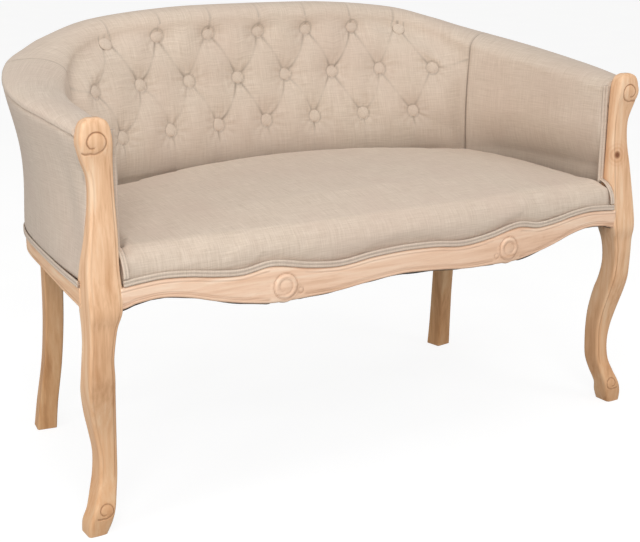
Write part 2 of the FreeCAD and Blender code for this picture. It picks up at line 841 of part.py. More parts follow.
def wall_strap_section(station):
    """Webbing stretched from the seat rail's inner step to the inside of the top rail."""
    foot = station.low_out - rail_thickness + ledge_width
    pad_foot, rail_low, (high_o, high) = station.frame_inside()
    bends = [(foot, seat_rail_top), (foot, seat_rail_top + tack_height), rail_low,
             (high_o, high - panel_gap)]
    near = [station.point(outward - fit_gap, z) for outward, z in bends]
    far = [station.point(outward - fit_gap - strap_thickness, z) for outward, z in reversed(bends)]
    return outline(*near, *far)


def wall_straps(shell, places):
    straps = []
    for place in places:
        station = Station(place)
        half = station.along * (strap_width / 2)
        low, high = station.point(-overrun, 0), station.point(wall_thickness + overrun, 0)
        corners = [low - half, high - half, high + half, low + half, low - half]
        gate = prism(Part.makePolygon(corners), V(0, 0, overall_height))
        strap = largest(shell.common(gate))
        straps.append(strap)
        if place < last_place:
            straps.append(mirrored(strap))
    return Part.makeCompound(straps)


# Back uprights, dowels, corner blocks and screws

def upright():
    """Straight bar from the back rail's step up into the crest rail."""
    sides = [Station(place) for place in upright_places]
    rings = []
    for z in (seat_rail_top + tack_height, sides[0].top - roll_inner_drop):
        outers = [s.outer(z) - frame_inset - upright_setback for s in sides]
        near = [s.point(o, z) for s, o in zip(sides, outers)]
        far = [s.point(o - upright_thickness, z) for s, o in zip(sides, outers)]
        rings.append(Part.makePolygon(near + far[::-1] + near[:1]))
    return Part.makeLoft(rings, True, True)


def dowel_axes():
    """Middle and direction of every right-hand dowel."""
    rail_z = (ledge_z + seat_rail_bottom) / 2
    back = V(0, 1, 0)
    start = Station(0)
    top_z = start.top - roll_inner_drop - fit_gap - top_rail_height / 2
    corner = Station(stile_place)
    shift = corner.along * leg_dowel_offset
    rail_o = corner.low_out - rail_thickness * 0.62
    crest_z = corner.top - roll_inner_drop - fit_gap - top_rail_height / 2
    crest_o = corner.outer(crest_z) - frame_inset - wall_frame_thickness / 2
    return [
        (start.point(start.low_out - rail_thickness / 2, rail_z) + back * dowel_rail_setback, back),
        (start.point(start.outer(top_z) - frame_inset - wall_frame_thickness / 2, top_z), back),
        (corner.point(rail_o, rail_z) - shift, corner.along),
        (corner.point(rail_o, rail_z) + shift, corner.along),
        (corner.point(crest_o, crest_z) - shift, corner.along),
        (corner.point(crest_o, crest_z) + shift, corner.along),
    ]


def dowel(axis, extra):
    middle, direction = axis
    half = dowel_length / 2 + extra
    return round_bar(dowel_radius + extra, middle - direction * half, direction * (2 * half), dowel_sides)


def front_block():
    """Triangular block behind the front rail and inside the side rail."""
    corner = V(post_inner_x + front_block_reach, front_rail_back_y, 0)
    corners = [corner, corner - V(corner_block_leg, 0, 0), corner + V(0, corner_block_leg, 0), corner]
    block = prism(Part.makePolygon(corners), V(0, 0, corner_block_height))
    block.translate(V(0, 0, ledge_z - corner_block_height - fit_gap))
    return block


def rear_block():
    """Brace across the rounded corner, fitted round the leg."""
    inner = rail_thickness + 2 * fit_gap
    stations = [Station(place) for place in rear_block_places]
    edge = [s.point(s.low_out - inner, 0) for s in stations]
    inside = [s.point(s.low_out - inner - rear_block_depth, 0) for s in (stations[-1], stations[0])]
    block = prism(Part.makePolygon(edge + inside + edge[:1]), V(0, 0, corner_block_height))
    block.translate(V(0, 0, ledge_z - corner_block_height - fit_gap))
    return block


def corner_welt(extra):
    """Short double cord up the seat's front corner, beside the post."""
    path = V(0, corner_welt_run, corner_welt_rise)
    forward = V(0, -corner_welt_rise, corner_welt_run).normalize()
    corner = V(post_inner_x - 2 * fit_gap, bow_y(post_inner_x) + welt_base + welt_lap, corner_welt_low_z)
    if extra:
        reach = V(-welt_base - welt_bulge - extra, 0, 0)
        corner = corner - forward * extra
        far = forward * (post_welt_width + 2 * extra)
        wire = Part.makePolygon([corner, corner + reach, corner + reach + far, corner + far, corner])
        return prism(wire, path * (1 + extra / corner_welt_rise))
    return prism(welt_section(corner, V(-1, 0, 0), forward, post_welt_width), path)


def post_welt(extra):
    """Double cord up the rear inner edge of a post."""
    corner = V(post_inner_x - fit_gap, wall_start_y, post_welt_low_z)
    top = Station(0).top - roll_inner_drop - 2 * fit_gap
    path = V(0, 0, top - post_welt_low_z)
    if extra:
        high = corner + V(overrun, post_welt_width + extra, 0) + path
        return box_between(V(corner.x - overrun, corner.y - extra, pad_low_z - extra), high)
    return prism(welt_section(corner, V(-1, 0, 0), V(0, 1, 0), post_welt_width), path)


def outer_welt_section(station):
    corner = station.point(station.low_out - welt_base - fit_gap, seat_rail_top)
    return welt_section(corner, station.out, V(0, 0, 1), welt_width)


# Cutters that several neighbours share

post = post_blank(0).fuse([
    roundel(head_roundel_radius, head_roundel_x, post_front_at_head, head_roundel_z),
    roundel(toe_roundel_radius, toe_roundel_x, toe_roundel_depth, toe_roundel_z)])
post_cut = post_blank(fit_gap)
posts_cut = [post_cut, mirrored(post_cut)]
leg = rear_leg(0)
legs_cut = [rear_leg(fit_gap), mirrored(rear_leg(fit_gap))]
axes = dowel_axes()
dowel_holes = [dowel(axis, fit_gap) for axis in axes]
dowel_holes += [mirrored(hole) for hole in dowel_holes]

parts = {}


def keep_pair(name, right):
    parts[name + "_left"] = mirrored(right)
    parts[name + "_right"] = right


# Show wood

keep_pair("front_post", largest(post.cut([tenon(mortise_gap)] + dowel_holes)))
parts["front_rail"] = largest(front_rail(post_cut).cut(dowel_holes))
keep_pair("rear_leg", largest(leg.cut(dowel_holes)))
rails = wall_loft(seat_rail_section).cut(posts_cut + legs_cut + dowel_holes)
parts["side_rail_left"], parts["back_rail"], parts["side_rail_right"] = split(rails, stile_place)

# Hidden frame

top_rails = wall_loft(top_rail_section).cut(posts_cut + legs_cut + dowel_holes)
parts["arm_top_rail_left"], parts["crest_rail"], parts["arm_top_rail_right"] = split(
    top_rails, stile_place)
crest_cut = wall_loft(top_rail_section)
crest_cut.translate(V(0, 0, -3 * fit_gap))
keep_pair("back_upright", largest(upright().cut(crest_cut)))
blocks = []
for block in (front_block(), rear_block()):
    block = largest(block.cut(posts_cut + legs_cut))
    blocks += [block, mirrored(block)]
parts["corner_blocks"] = Part.makeCompound(blocks)
pegs = [dowel(axis, 0) for axis in axes]
parts["dowels"] = Part.makeCompound(pegs + [mirrored(peg) for peg in pegs])

# Webbing and platform cloth

behind_lip = bowed_front(front_rail_lip + fit_gap)
platform_inset = rail_thickness - ledge_width + fit_gap


def platform_sheet(low, thickness):
    sheet = sheet_between(low, thickness, platform_inset, behind_lip)
    return largest(sheet.cut(posts_cut + legs_cut))


lower = platform_sheet(ledge_z, strap_thickness)
upper = platform_sheet(ledge_z + strap_thickness, strap_thickness)
parts["lengthwise_webbing"] = strap_row(lower, long_strap_count, long_strap_span, True)
parts["crosswise_webbing"] = strap_row(upper, cross_strap_count, 2 * post_inner_x, False)
parts["platform_hessian"] = platform_sheet(ledge_z + 2 * strap_thickness, hessian_thickness)
strap_shell = wall_loft(wall_strap_section)
parts["back_webbing"] = wall_straps(strap_shell, back_strap_places)
parts["arm_webbing"] = wall_straps(strap_shell, arm_strap_places)
behind_rail = box_between(V(-half_width, -2 * overrun, 0),
                          V(half_width, front_rail_back_y + fit_gap, overall_height))
cover = sheet_between(seat_rail_bottom - dust_cover_thickness, dust_cover_thickness,
                      dust_cover_margin, behind_rail)
parts["dust_cover"] = largest(cover.cut(posts_cut + legs_cut))

# Upholstery

roll = wall_loft(roll_section).cut(posts_cut)
roof = wall_loft(roof_section)
panels = wall_loft(panel_section).cut(posts_cut)
welts = wall_loft(outer_welt_section).cut(posts_cut)
pads = wall_loft(arm_pad_section).cut(posts_cut + legs_cut)

places = button_places()
pockets = [button_pocket(*spot) for spot in places]
back_pad = tufted_pad_blank().cut(roof)
parts["inside_back_pad"] = largest(back_pad.cut(pockets + legs_cut))
arm_pad = split(pads, seam_station)[-1]
keep_pair("inside_arm_pad", largest(arm_pad.cut(post_welt(fit_gap))))
parts["arm_roll_left"], back_roll, parts["arm_roll_right"] = split(roll, seam_station)
parts["back_roll"] = largest(back_roll.cut(pockets))
parts["outside_arm_panel_left"], parts["outside_back_panel"], parts["outside_arm_panel_right"] = split(
    panels, stile_place)
parts["outside_arm_welt_left"], parts["outside_back_welt"], parts["outside_arm_welt_right"] = split(
    welts, stile_place)
keep_pair("post_welt", post_welt(0))
keep_pair("seat_corner_welt", corner_welt(0))
parts["front_rail_welt"] = largest(front_welt(welt_lift).cut(posts_cut))
seat = seat_pad(post_cut).cut([corner_welt(fit_gap), mirrored(corner_welt(fit_gap))])
parts["seat_pad"] = largest(seat)
parts["back_buttons"] = Part.makeCompound([button(*spot) for spot in places])

os.makedirs("parts", exist_ok=True)
for name, shape in parts.items():
    moved = shape.copy()
    moved.translate(V(0, depth_shift, 0))
    moved.exportStep("parts/" + name + ".step")
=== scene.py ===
import random
from math import atan2, copysign, cos, degrees, exp, hypot, pi, radians, sin, sqrt

import bmesh
import bpy
import numpy
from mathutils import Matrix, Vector


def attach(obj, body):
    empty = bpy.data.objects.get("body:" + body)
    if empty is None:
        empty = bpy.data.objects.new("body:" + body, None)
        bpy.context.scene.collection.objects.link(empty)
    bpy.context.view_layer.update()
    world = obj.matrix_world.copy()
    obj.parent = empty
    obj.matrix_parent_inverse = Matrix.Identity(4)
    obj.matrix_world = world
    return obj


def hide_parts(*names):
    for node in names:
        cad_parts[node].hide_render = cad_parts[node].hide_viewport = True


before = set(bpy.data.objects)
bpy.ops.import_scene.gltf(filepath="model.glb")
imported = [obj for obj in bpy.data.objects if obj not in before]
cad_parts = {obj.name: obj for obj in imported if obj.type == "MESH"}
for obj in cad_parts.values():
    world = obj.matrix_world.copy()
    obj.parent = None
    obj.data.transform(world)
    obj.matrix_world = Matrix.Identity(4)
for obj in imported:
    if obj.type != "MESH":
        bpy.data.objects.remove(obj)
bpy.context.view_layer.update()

# Dressed model of a tufted tub settee. Metres, -Y is the front, +Z is up. The tables up to HEM_Z are
# those of the part's source, and so are most of the sizes.

OVERALL_HEIGHT = 0.811
HALF_WIDTH = 0.597
BACK_DEPTH = 0.562
DEPTH_SHIFT = -0.26625
POST_HEIGHT = 0.684
POST_INNER_X = 0.520
POST_BLOCK = 0.057
POST_BACK_Y = 0.0303
SEAT_RAIL_TOP = 0.418
SEAT_RAIL_HEIGHT = 0.035
RAIL_THICKNESS = 0.030
RAIL_LEDGE_Z = 0.400
RAIL_BOW = 0.0275
RAIL_ARCH = 0.007
WALL_THICKNESS = 0.100
SEAM_PLACE = 4.0
REAR_PLACE = 5.0
LAST_PLACE = 9
ROLL_OUTER_DROP = 0.014
ROLL_INNER_DROP = 0.028
PAD_LOW_Z = 0.431
CONTACT_Z = 0.498
PAD_BULGE = 0.007
WELT_HEIGHT = 0.012

# x share of the half width, y share of the way to the back, turn in degrees. As shares of the wall's
# thickness: the outside at the top and below, the inside below and the bow. Height share.
WALL = (
    (0.8560, 0.0000, 0.0, 0.66, 0.67, 0.00, -0.13, 0.8310),
    (0.8509, 0.1780, 0.0, 0.81, 0.63, -0.02, -0.03, 0.8480),
    (0.8442, 0.3420, 2.0, 0.92, 0.58, -0.01, 0.02, 0.8620),
    (0.8157, 0.4990, 8.0, 1.02, 0.65, -0.02, 0.02, 0.8800),
    (0.7554, 0.6520, 27.0, 1.08, 0.90, -0.09, 0.02, 0.9070),
    (0.7203, 0.7235, 44.0, 0.95, 0.97, -0.20, 0.02, 0.9270),
    (0.6700, 0.7875, 54.0, 0.81, 0.70, -0.40, 0.02, 0.9470),
    (0.5444, 0.8570, 68.0, 0.64, 0.28, -0.45, 0.02, 0.9760),
    (0.2848, 0.8646, 83.0, 0.68, 0.27, -0.50, 0.02, 0.9950),
    (0.0000, 0.8646, 90.0, 0.72, 0.29, -0.52, 0.02, 0.9980),
)
# Height share, then the inner, outer, front and rear faces as shares of the block.
POST_ROWS = (
    (0.000, 0.65, 1.22, 0.23, 0.88), (0.030, 0.50, 1.20, 0.17, 0.86),
    (0.062, 0.40, 1.07, 0.14, 0.81), (0.100, 0.29, 0.88, 0.28, 1.00),
    (0.139, 0.19, 0.74, 0.42, 1.12), (0.190, 0.15, 0.70, 0.47, 1.14),
    (0.241, 0.14, 0.79, 0.46, 1.13), (0.292, 0.17, 0.91, 0.35, 1.09),
    (0.351, 0.23, 1.02, 0.16, 0.95), (0.395, 0.27, 1.05, 0.02, 0.77),
    (0.439, 0.30, 1.04, -0.04, 0.67), (0.482, 0.26, 1.01, -0.09, 0.64),
    (0.519, 0.18, 1.00, -0.11, 0.67), (0.556, 0.05, 1.00, -0.18, 0.74),
    (0.600, 0.00, 1.00, -0.12, 0.79), (0.658, 0.02, 0.96, -0.02, 0.70),
    (0.731, 0.00, 0.84, 0.05, 0.54), (0.804, 0.00, 0.72, 0.14, 0.52),
    (0.863, 0.01, 0.71, 0.16, 0.52), (0.906, 0.02, 0.87, 0.12, 0.52),
    (0.944, 0.04, 0.98, 0.02, 0.52), (0.968, 0.07, 0.95, 0.03, 0.51),
    (0.984, 0.12, 0.90, 0.05, 0.49), (0.994, 0.20, 0.82, 0.09, 0.46), (1.000, 0.34, 0.68, 0.16, 0.40),
)
# Height share of the stile, x share of the half width, y share of the back depth, share of the side.
LEG_ROWS = (
    (0.000, 0.8157, 0.9039, 1.06), (0.080, 0.8091, 0.8879, 1.00), (0.200, 0.7953, 0.8610, 0.96),
    (0.320, 0.7889, 0.8417, 0.97), (0.440, 0.7870, 0.8327, 1.00), (0.520, 0.7870, 0.8308, 1.05),
)
STILE_ROWS = ((0.610, 0.7870, 0.8289, 0.78), (1.000, 0.7755, 0.8539, 0.72))
STILE_HEIGHT = 0.714
LEG_SIDE = 0.036
LEG_TURN = radians(8.6)
# Share of the way from the middle to the post, share of the rail's height above its top.
RAIL_TOP = (
    (0.000, -0.20), (0.125, -0.27), (0.250, -0.46), (0.365, -0.32), (0.504, 0.02),
    (0.608, -0.20), (0.696, -0.12), (0.785, 0.06), (0.875, 0.14), (0.960, 0.06), (1.000, 0.00),
)
RAIL_BOTTOM = (
    (0.000, -1.37), (0.135, -1.50), (0.270, -1.70), (0.385, -1.76), (0.500, -1.78),
    (0.600, -1.58), (0.690, -1.30), (0.788, -0.92), (0.877, -0.74), (0.960, -0.84), (1.000, -1.00),
)
BUTTON_PITCH = 0.1115
BUTTON_RADIUS = 0.014
# Height share, count, pitch share, depth share at the middle, curve as a share of the pitch, its power.
BUTTON_ROWS = (
    (0.713, 7, 1.013, 0.833, 0.41, 2.0),
    (0.822, 8, 0.990, 0.867, 0.52, 3.0),
    (0.932, 7, 0.990, 0.895, 0.07, 3.0),
)
HEM_DEPTH_SHARE = 0.800
HEM_Z = 0.505


def smooth_row(rows, place):
    """Row of a table at any place, on a curve that passes smoothly through the rows."""
    last = len(rows) - 1
    low = min(max(int(place), 0), last - 1)
    t = place - low
    before, here, there, after = [rows[min(max(low + k, 0), last)] for k in (-1, 0, 1, 2)]
    row = []
    for a, b, c, d in zip(before, here, there, after):
        leave, arrive = (c - a) / 2, (d - b) / 2
        row.append(b + leave * t + (3 * (c - b) - 2 * leave - arrive) * t ** 2
                   + (2 * (b - c) + leave + arrive) * t ** 3)
    return row


def clamp(value, low=0.0, high=1.0):
    return max(low, min(high, value))


def ease(value):
    value = clamp(value)
    return value * value * (3 - 2 * value)


def bell(distance, width):
    return exp(-(distance / width) ** 2)


def spread(start, end, count):
    return [start + (end - start) * k / (count - 1) for k in range(count)]


def rounded_edge(distance, radius, reach):
    """How far a rounded edge falls back, by the distance from it."""
    return radius * (1 - sqrt(1 - (1 - clamp(distance / reach)) ** 2))


def sided(stem, side):
    return stem + ("right" if side > 0 else "left")


class Station:
    """Upright section plane of the tub wall: place 0 is at the post, the last at mid-back. The inner
    face ends at roll_z and the roll at seam_z, on the outside."""

    def __init__(self, place, side=1):
        x, y, turn, *shares, height = smooth_row(WALL, place)
        angle = radians(turn)
        depth = POST_BACK_Y + y * (BACK_DEPTH - POST_BACK_Y) + DEPTH_SHIFT
        self.origin = Vector((side * x * HALF_WIDTH, depth, 0))
        self.out = Vector((side * cos(angle), sin(angle), 0))
        self.top = height * OVERALL_HEIGHT
        self.roll_z = self.top - ROLL_INNER_DROP
        self.seam_z = self.top - ROLL_OUTER_DROP
        self.top_out, self.low_out, self.low_in, self.bow = [s * WALL_THICKNESS for s in shares]

    def point(self, outward, z):
        return self.origin + self.out * outward + Vector((0, 0, z))

    def outer(self, z):
        share = max((z - SEAT_RAIL_TOP) / (self.seam_z - SEAT_RAIL_TOP), 0)
        straight = self.low_out + (self.top_out - self.low_out) * share
        return straight + 4 * self.bow * share * (1 - share)

    def inner(self, z):
        share = clamp((z - CONTACT_Z) / (self.roll_z - CONTACT_Z))
        return self.low_in * (1 - share) - 4 * PAD_BULGE * share * (1 - share)


def stations_along(start, end, side=0, count=90):
    """Places and stations of one side, or from the left side round the back to the right."""
    if side:
        return [(p, Station(p, side)) for p in spread(start, end, count)]
    return ([(p, Station(p, -1)) for p in spread(start, end, count)]
            + [(p, Station(p, 1)) for p in spread(end, start, count)[1:]])


# Objects

def add_object(name, data):
    obj = bpy.data.objects.new(name, data)
    bpy.context.scene.collection.objects.link(obj)
    return obj


def mesh_object(name, verts, faces, uvs, painted_shade=None):
    """Mesh object with smooth faces, UVs in metres and an optional painted shade value per vertex."""
    mesh = bpy.data.meshes.new(name)
    mesh.from_pydata([tuple(v) for v in verts], [], faces)
    layer = mesh.uv_layers.new(name="UVMap")
    for loop in mesh.loops:
        layer.data[loop.index].uv = uvs[loop.vertex_index]
    if painted_shade:
        attribute = mesh.attributes.new("painted_shade", "FLOAT", "POINT")
        attribute.data.foreach_set("value", painted_shade)
    mesh.polygons.foreach_set("use_smooth", [True] * len(mesh.polygons))
    mesh.update()
    return add_object(name, mesh)


def ring_faces(first, rings, count):
    """Quads between neighbouring rings of points, from the vertex numbered first on."""
    faces = []
    for i in range(rings - 1):
        for k in range(count):
            a, b = first + i * count + k, first + i * count + (k + 1) % count
            faces.append((a, b, b + count, a + count))
    return faces


def lofted(name, rings, painted_shade=None, reference=0):
    """Skin rings of equal count and cap both ends. U runs from ring to ring, measured along the points
    numbered reference, and V runs round each ring."""
    count = len(rings[0])
    verts = [p for ring in rings for p in ring]
    uvs = []
    along = 0.0
    for index, ring in enumerate(rings):
        if index:
            along += (ring[reference] - rings[index - 1][reference]).length
        around = 0.0
        for k, p in enumerate(ring):
            if k:
                around += (p - ring[k - 1]).length
            uvs.append((along, around))
    faces = ring_faces(0, len(rings), count)
    for start, order in ((0, -1), ((len(rings) - 1) * count, 1)):
        ring = [start + k for k in range(count)][::order]
        middle = len(verts)
        verts.append(sum((verts[k] for k in ring), Vector()) / count)
        uvs.append(uvs[start])
        if painted_shade:
            painted_shade.append(0.0)
        faces += [(ring[k - 1], ring[k], middle) for k in range(count)]
    obj = mesh_object(name, verts, faces, uvs, painted_shade)
    work = bmesh.new()
    work.from_mesh(obj.data)
    bmesh.ops.recalc_face_normals(work, faces=work.faces)
    work.to_mesh(obj.data)
    work.free()
    return obj


# Materials

BLACK, WHITE = (0, 0, 0), (1, 1, 1)


def srgb(r, g, b):
    """Linear colour of an 8-bit screen colour."""
    return tuple((c / 255 / 12.92) if c <= 10 else ((c / 255 + 0.055) / 1.055) ** 2.4
                 for c in (r, g, b))


class Shader:
    """Small builder for the nodes of a material or a world."""

    def __init__(self, owner):
        self.owner = owner
        owner.use_nodes = True
        self.tree = owner.node_tree
        self.tree.nodes.clear()

    def node(self, kind, inputs=None, **settings):
        made = self.tree.nodes.new("ShaderNode" + kind)
        for key, value in settings.items():
            setattr(made, key, value)
        for key, value in (inputs or {}).items():
            if isinstance(value, bpy.types.NodeSocket):
                self.tree.links.new(value, made.inputs[key])
            else:
                made.inputs[key].default_value = value
        return made

    def place(self):
        return self.node("TexCoord").outputs["Object"]

    def noise(self, vector, detail, roughness):
        return self.node("TexNoise", {"Vector": vector, "Scale": 1.0, "Detail": detail,
                                      "Roughness": roughness}).outputs["Fac"]

    def grain(self, kind, scale, detail=2.0, roughness=0.6):
        """Noise with a scale of its own along each axis."""
        source = self.node("TexCoord").outputs[kind]
        mapping = self.node("Mapping", {"Vector": source, "Scale": scale})
        return self.noise(mapping.outputs["Vector"], detail, roughness)

    def ramp(self, value, stops):
        made = self.node("ValToRGB", {"Fac": value})
        elements = made.color_ramp.elements
        while len(elements) < len(stops):
            elements.new(0.5)
        for element, (place, colour) in zip(elements, stops):
            element.position = place
            element.color = (*colour, 1)
        return made.outputs["Color"]

    def math(self, operation, *values, clamped=False):
        made = self.node("Math", dict(enumerate(values)), operation=operation)
        made.use_clamp = clamped
        return made.outputs[0]

    def times(self, value, factor):
        return self.math("MULTIPLY", value, factor)

    def weigh(self, a, b, share=0.5):
        """A share of a and the rest of b."""
        return self.math("ADD", self.times(a, share), self.times(b, 1 - share))

    def mix(self, factor, a, b, blend="MIX"):
        """Colour b over a, by inputs 0, 6 and 7 of the node."""
        a, b = [c if isinstance(c, bpy.types.NodeSocket) else (*c, 1) for c in (a, b)]
        return self.node("Mix", {0: factor, 6: a, 7: b}, data_type="RGBA", blend_type=blend).outputs[2]

    # Painted shade per vertex: dark laid into creases, seams, dimples, button rims, the cords' valleys,
    # the pads' low parts and the wood's carved lines.
    def painted_shade(self):
        return self.node("Attribute", attribute_name="painted_shade").outputs["Fac"]

    def finish(self, colour, relief, strength, distance, roughness, **fixed):
        bump = self.node("Bump", {"Height": relief, "Strength": strength, "Distance": distance})
        inputs = {"Base Color": colour, "Roughness": roughness, "Normal": bump.outputs["Normal"]}
        for key, value in fixed.items():
            inputs[key.replace("_", " ")] = value
        shader = self.node("BsdfPrincipled", inputs)
        self.node("OutputMaterial", {"Surface": shader.outputs["BSDF"]})
        return self.owner


LINEN_LIGHT = srgb(227, 211, 194)
LINEN_DARK = srgb(189, 169, 149)
LINEN_BLUSH = srgb(206, 182, 166)
# Colour of the painted shade in the cloth's creases, seams, dimples and low parts.
PAINTED_LINEN_SHADE = tuple(0.40 * c for c in LINEN_DARK)


def linen(name):
    """Slubby plain weave: uneven threads both ways, soft patches of colour and painted shade in creases.
    """
    s = Shader(bpy.data.materials.new(name))
    threads = s.weigh(s.grain("UV", (900, 34, 34)), s.grain("UV", (34, 900, 34)))
    slubs = s.weigh(s.grain("UV", (520, 14, 14), roughness=0.55),
                    s.grain("UV", (14, 560, 14), roughness=0.55))
    weave = s.weigh(threads, slubs)
    patches = s.ramp(s.grain("Object", (9, 9, 9), 3.0, 0.5), [(0.38, BLACK), (0.68, WHITE)])
    base = s.ramp(weave, [(0.34, LINEN_DARK), (0.65, LINEN_LIGHT)])
    base = s.mix(s.times(patches, 0.30), base, LINEN_BLUSH)
    # Painted shade: darker where the vertices carry it, in creases, seams, dimples and low on the pads.
    base = s.mix(s.painted_shade(), base, PAINTED_LINEN_SHADE)
    return s.finish(base, weave, 0.35, 0.0012, 0.93, Sheen_Weight=0.12, Sheen_Roughness=0.6)


PORE_BROWN = srgb(176, 122, 80)
KNOT_HALO = srgb(196, 132, 84)
KNOT_CORE = srgb(128, 78, 48)
# Colour of the painted shade in the wood's carved lines.
PAINTED_CARVED_SHADE = srgb(140, 88, 52)
# Multiplied in as painted shade, darker towards the floor.
FOOT_SHADE_TONE = (0.80, 0.70, 0.58)


def timber(name, axis, tones=((247, 217, 184), (237, 194, 155), (206, 155, 112)), knots=(), foot_shade=False):
    """Pale open-grained wood along an axis, of a light, a middle and a dark tone, with streaks, fine
    pores, a few knots (centre and radius) and painted shade that darkens and browns the foot."""
    s = Shader(bpy.data.materials.new(name))
    light, middle, dark = [srgb(*tone) for tone in tones]
    place = s.place()

    def stretched(fine, coarse):
        return [coarse if letter == axis else fine for letter in "XYZ"]

    near_knot = None
    for centre, radius in knots:
        gap = s.node("VectorMath", {0: place, 1: centre}, operation="DISTANCE").outputs["Value"]
        close = s.math("SUBTRACT", 1.0, s.math("DIVIDE", gap, radius), clamped=True)
        near_knot = close if near_knot is None else s.math("MAXIMUM", near_knot, close)
    warp = s.grain("Object", stretched(9, 2.5), 2.0, 0.5)
    bends = s.node("CombineXYZ", dict(zip("XYZ", [s.times(warp, k) for k in (2.2, 1.7, 1.4)]))).outputs[0]
    straight = s.node("Mapping", {"Vector": place, "Scale": stretched(46, 2.6)}).outputs[0]
    bent = s.node("VectorMath", {0: straight, 1: bends}, operation="ADD").outputs[0]
    figure = s.noise(bent, 4.0, 0.62)
    streaks = s.grain("Object", stretched(170, 5), 3.0)
    pores = s.grain("Object", stretched(900, 34))
    tone = s.grain("Object", stretched(7, 2), 2.0, 0.5)
    base = s.ramp(s.weigh(figure, streaks, 0.72), [(0.36, light), (0.50, middle), (0.66, dark)])
    base = s.mix(s.times(tone, 0.35), base, middle)
    # Painted shade: the wood darker and browner towards the floor, standing in for light falling off low
    # down.
    if foot_shade:
        height = s.node("SeparateXYZ", {"Vector": place}).outputs["Z"]
        low = s.ramp(height, [(0.06, WHITE), (0.46, BLACK)])
        base = s.mix(s.times(low, 0.85), base, FOOT_SHADE_TONE, "MULTIPLY")
    specks = s.ramp(pores, [(0.60, BLACK), (0.72, WHITE)])
    base = s.mix(s.times(specks, 0.16), base, PORE_BROWN)
    if near_knot is not None:
        rings = s.math("SINE", s.times(near_knot, 26.0))
        halo = s.math("MULTIPLY", near_knot, s.math("MULTIPLY_ADD", rings, 0.2, 0.55), clamped=True)
        base = s.mix(halo, base, KNOT_HALO)
        base = s.mix(s.ramp(near_knot, [(0.72, BLACK), (0.86, WHITE)]), base, KNOT_CORE)
    # Painted shade in the carved lines, by their depth.
    base = s.mix(s.painted_shade(), base, PAINTED_CARVED_SHADE)
    return s.finish(base, s.weigh(figure, pores), 0.18, 0.0008, 0.62, Specular_IOR_Level=0.35)


def basket_weave(name, light, dark, scale):
    """Coarse weave for webbing, hessian and the dust cover."""
    s = Shader(bpy.data.materials.new(name))
    place = s.place()
    bands = [s.node("TexWave", {"Vector": place, "Scale": scale, "Distortion": 1.5, "Detail": 2.0,
                                "Detail Scale": 3.0},
                    wave_type="BANDS", bands_direction=axis).outputs["Fac"] for axis in "XY"]
    weave = s.weigh(s.math("MAXIMUM", *bands), s.grain("Object", (400, 400, 400), 3.0), 0.6)
    return s.finish(s.ramp(weave, [(0.3, dark), (0.8, light)]), weave, 0.5, 0.001, 0.95)


linen_back, linen_seat, linen_welt = [linen(name) for name in ("linen_back", "linen_seat", "linen_welt")]
wood_post = timber("wood_post", "Z", foot_shade=True, knots=(((0.531, -0.264, 0.527), 0.031),
                                                       ((-0.548, -0.272, 0.520), 0.009)))
wood_rail = timber("wood_rail", "X", ((250, 224, 199), (241, 204, 175), (216, 172, 138)),
                   (((0.330, -0.290, 0.392), 0.008),))
wood_side = timber("wood_side", "Y")
# Leg wood, its tones set a little lighter as painted light against the shade on the rear legs.
wood_leg = timber("wood_leg", "Z", ((245, 211, 171), (231, 185, 141), (199, 149, 104)), foot_shade=True)
wood_frame = timber("wood_frame", "X", ((226, 196, 156), (212, 178, 134), (188, 148, 104)))
jute = basket_weave("jute", srgb(196, 164, 122), srgb(138, 106, 70), 180)
dust = basket_weave("dust_cloth", srgb(52, 49, 47), srgb(24, 22, 21), 260)


def dress(piece, material, slot, *nodes):
    """Material, body and the CAD nodes that a new piece stands for. The slot is not used."""
    piece.data.materials.clear()
    piece.data.materials.append(material)
    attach(piece, "root")
    if nodes:
        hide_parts(*nodes)


def redress(material, *nodes):
    """Better material on CAD nodes whose shape stays."""
    for node in nodes:
        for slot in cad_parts[node].material_slots:
            slot.material = material


# Show wood

# Degrees from straight down towards the seat's side, radius share of the carved line there.
VOLUTE = ((-58, 1.70), (-24, 1.17), (20, 1.02), (77, 0.98), (180, 1.00), (270, 0.98), (299, 0.86),
          (345, 0.54))


def volute_reach(turn):
    for (low, near), (high, far) in zip(VOLUTE, VOLUTE[1:]):
        if turn <= high:
            return near + (far - near) * ease((turn - low) / (high - low))
    return VOLUTE[-1][1]


def volute_distance(x, z, centre_x, centre_z, radius):
    """Distance to a carved line that comes in below a ring, runs round it and curls inside."""
    dx, dz = x - centre_x, z - centre_z
    reach = hypot(dx, dz)
    best = 1.0
    for lap in (-360, 0, 360):
        turn = degrees(atan2(-dx, -dz)) + lap
        if VOLUTE[0][0] <= turn <= VOLUTE[-1][0]:
            slope = (volute_reach(turn + 3) - volute_reach(turn - 3)) / radians(6)
            best = min(best, abs(reach - radius * volute_reach(turn)) / hypot(1, slope))
    return best


def groove(distance, half_width, depth):
    return depth * bell(distance, half_width)


def carved_shade(cut, strength=0.5):
    """Dark of a carved line, full from a depth of 1.5 mm."""
    return clamp(cut / 0.0015) * strength


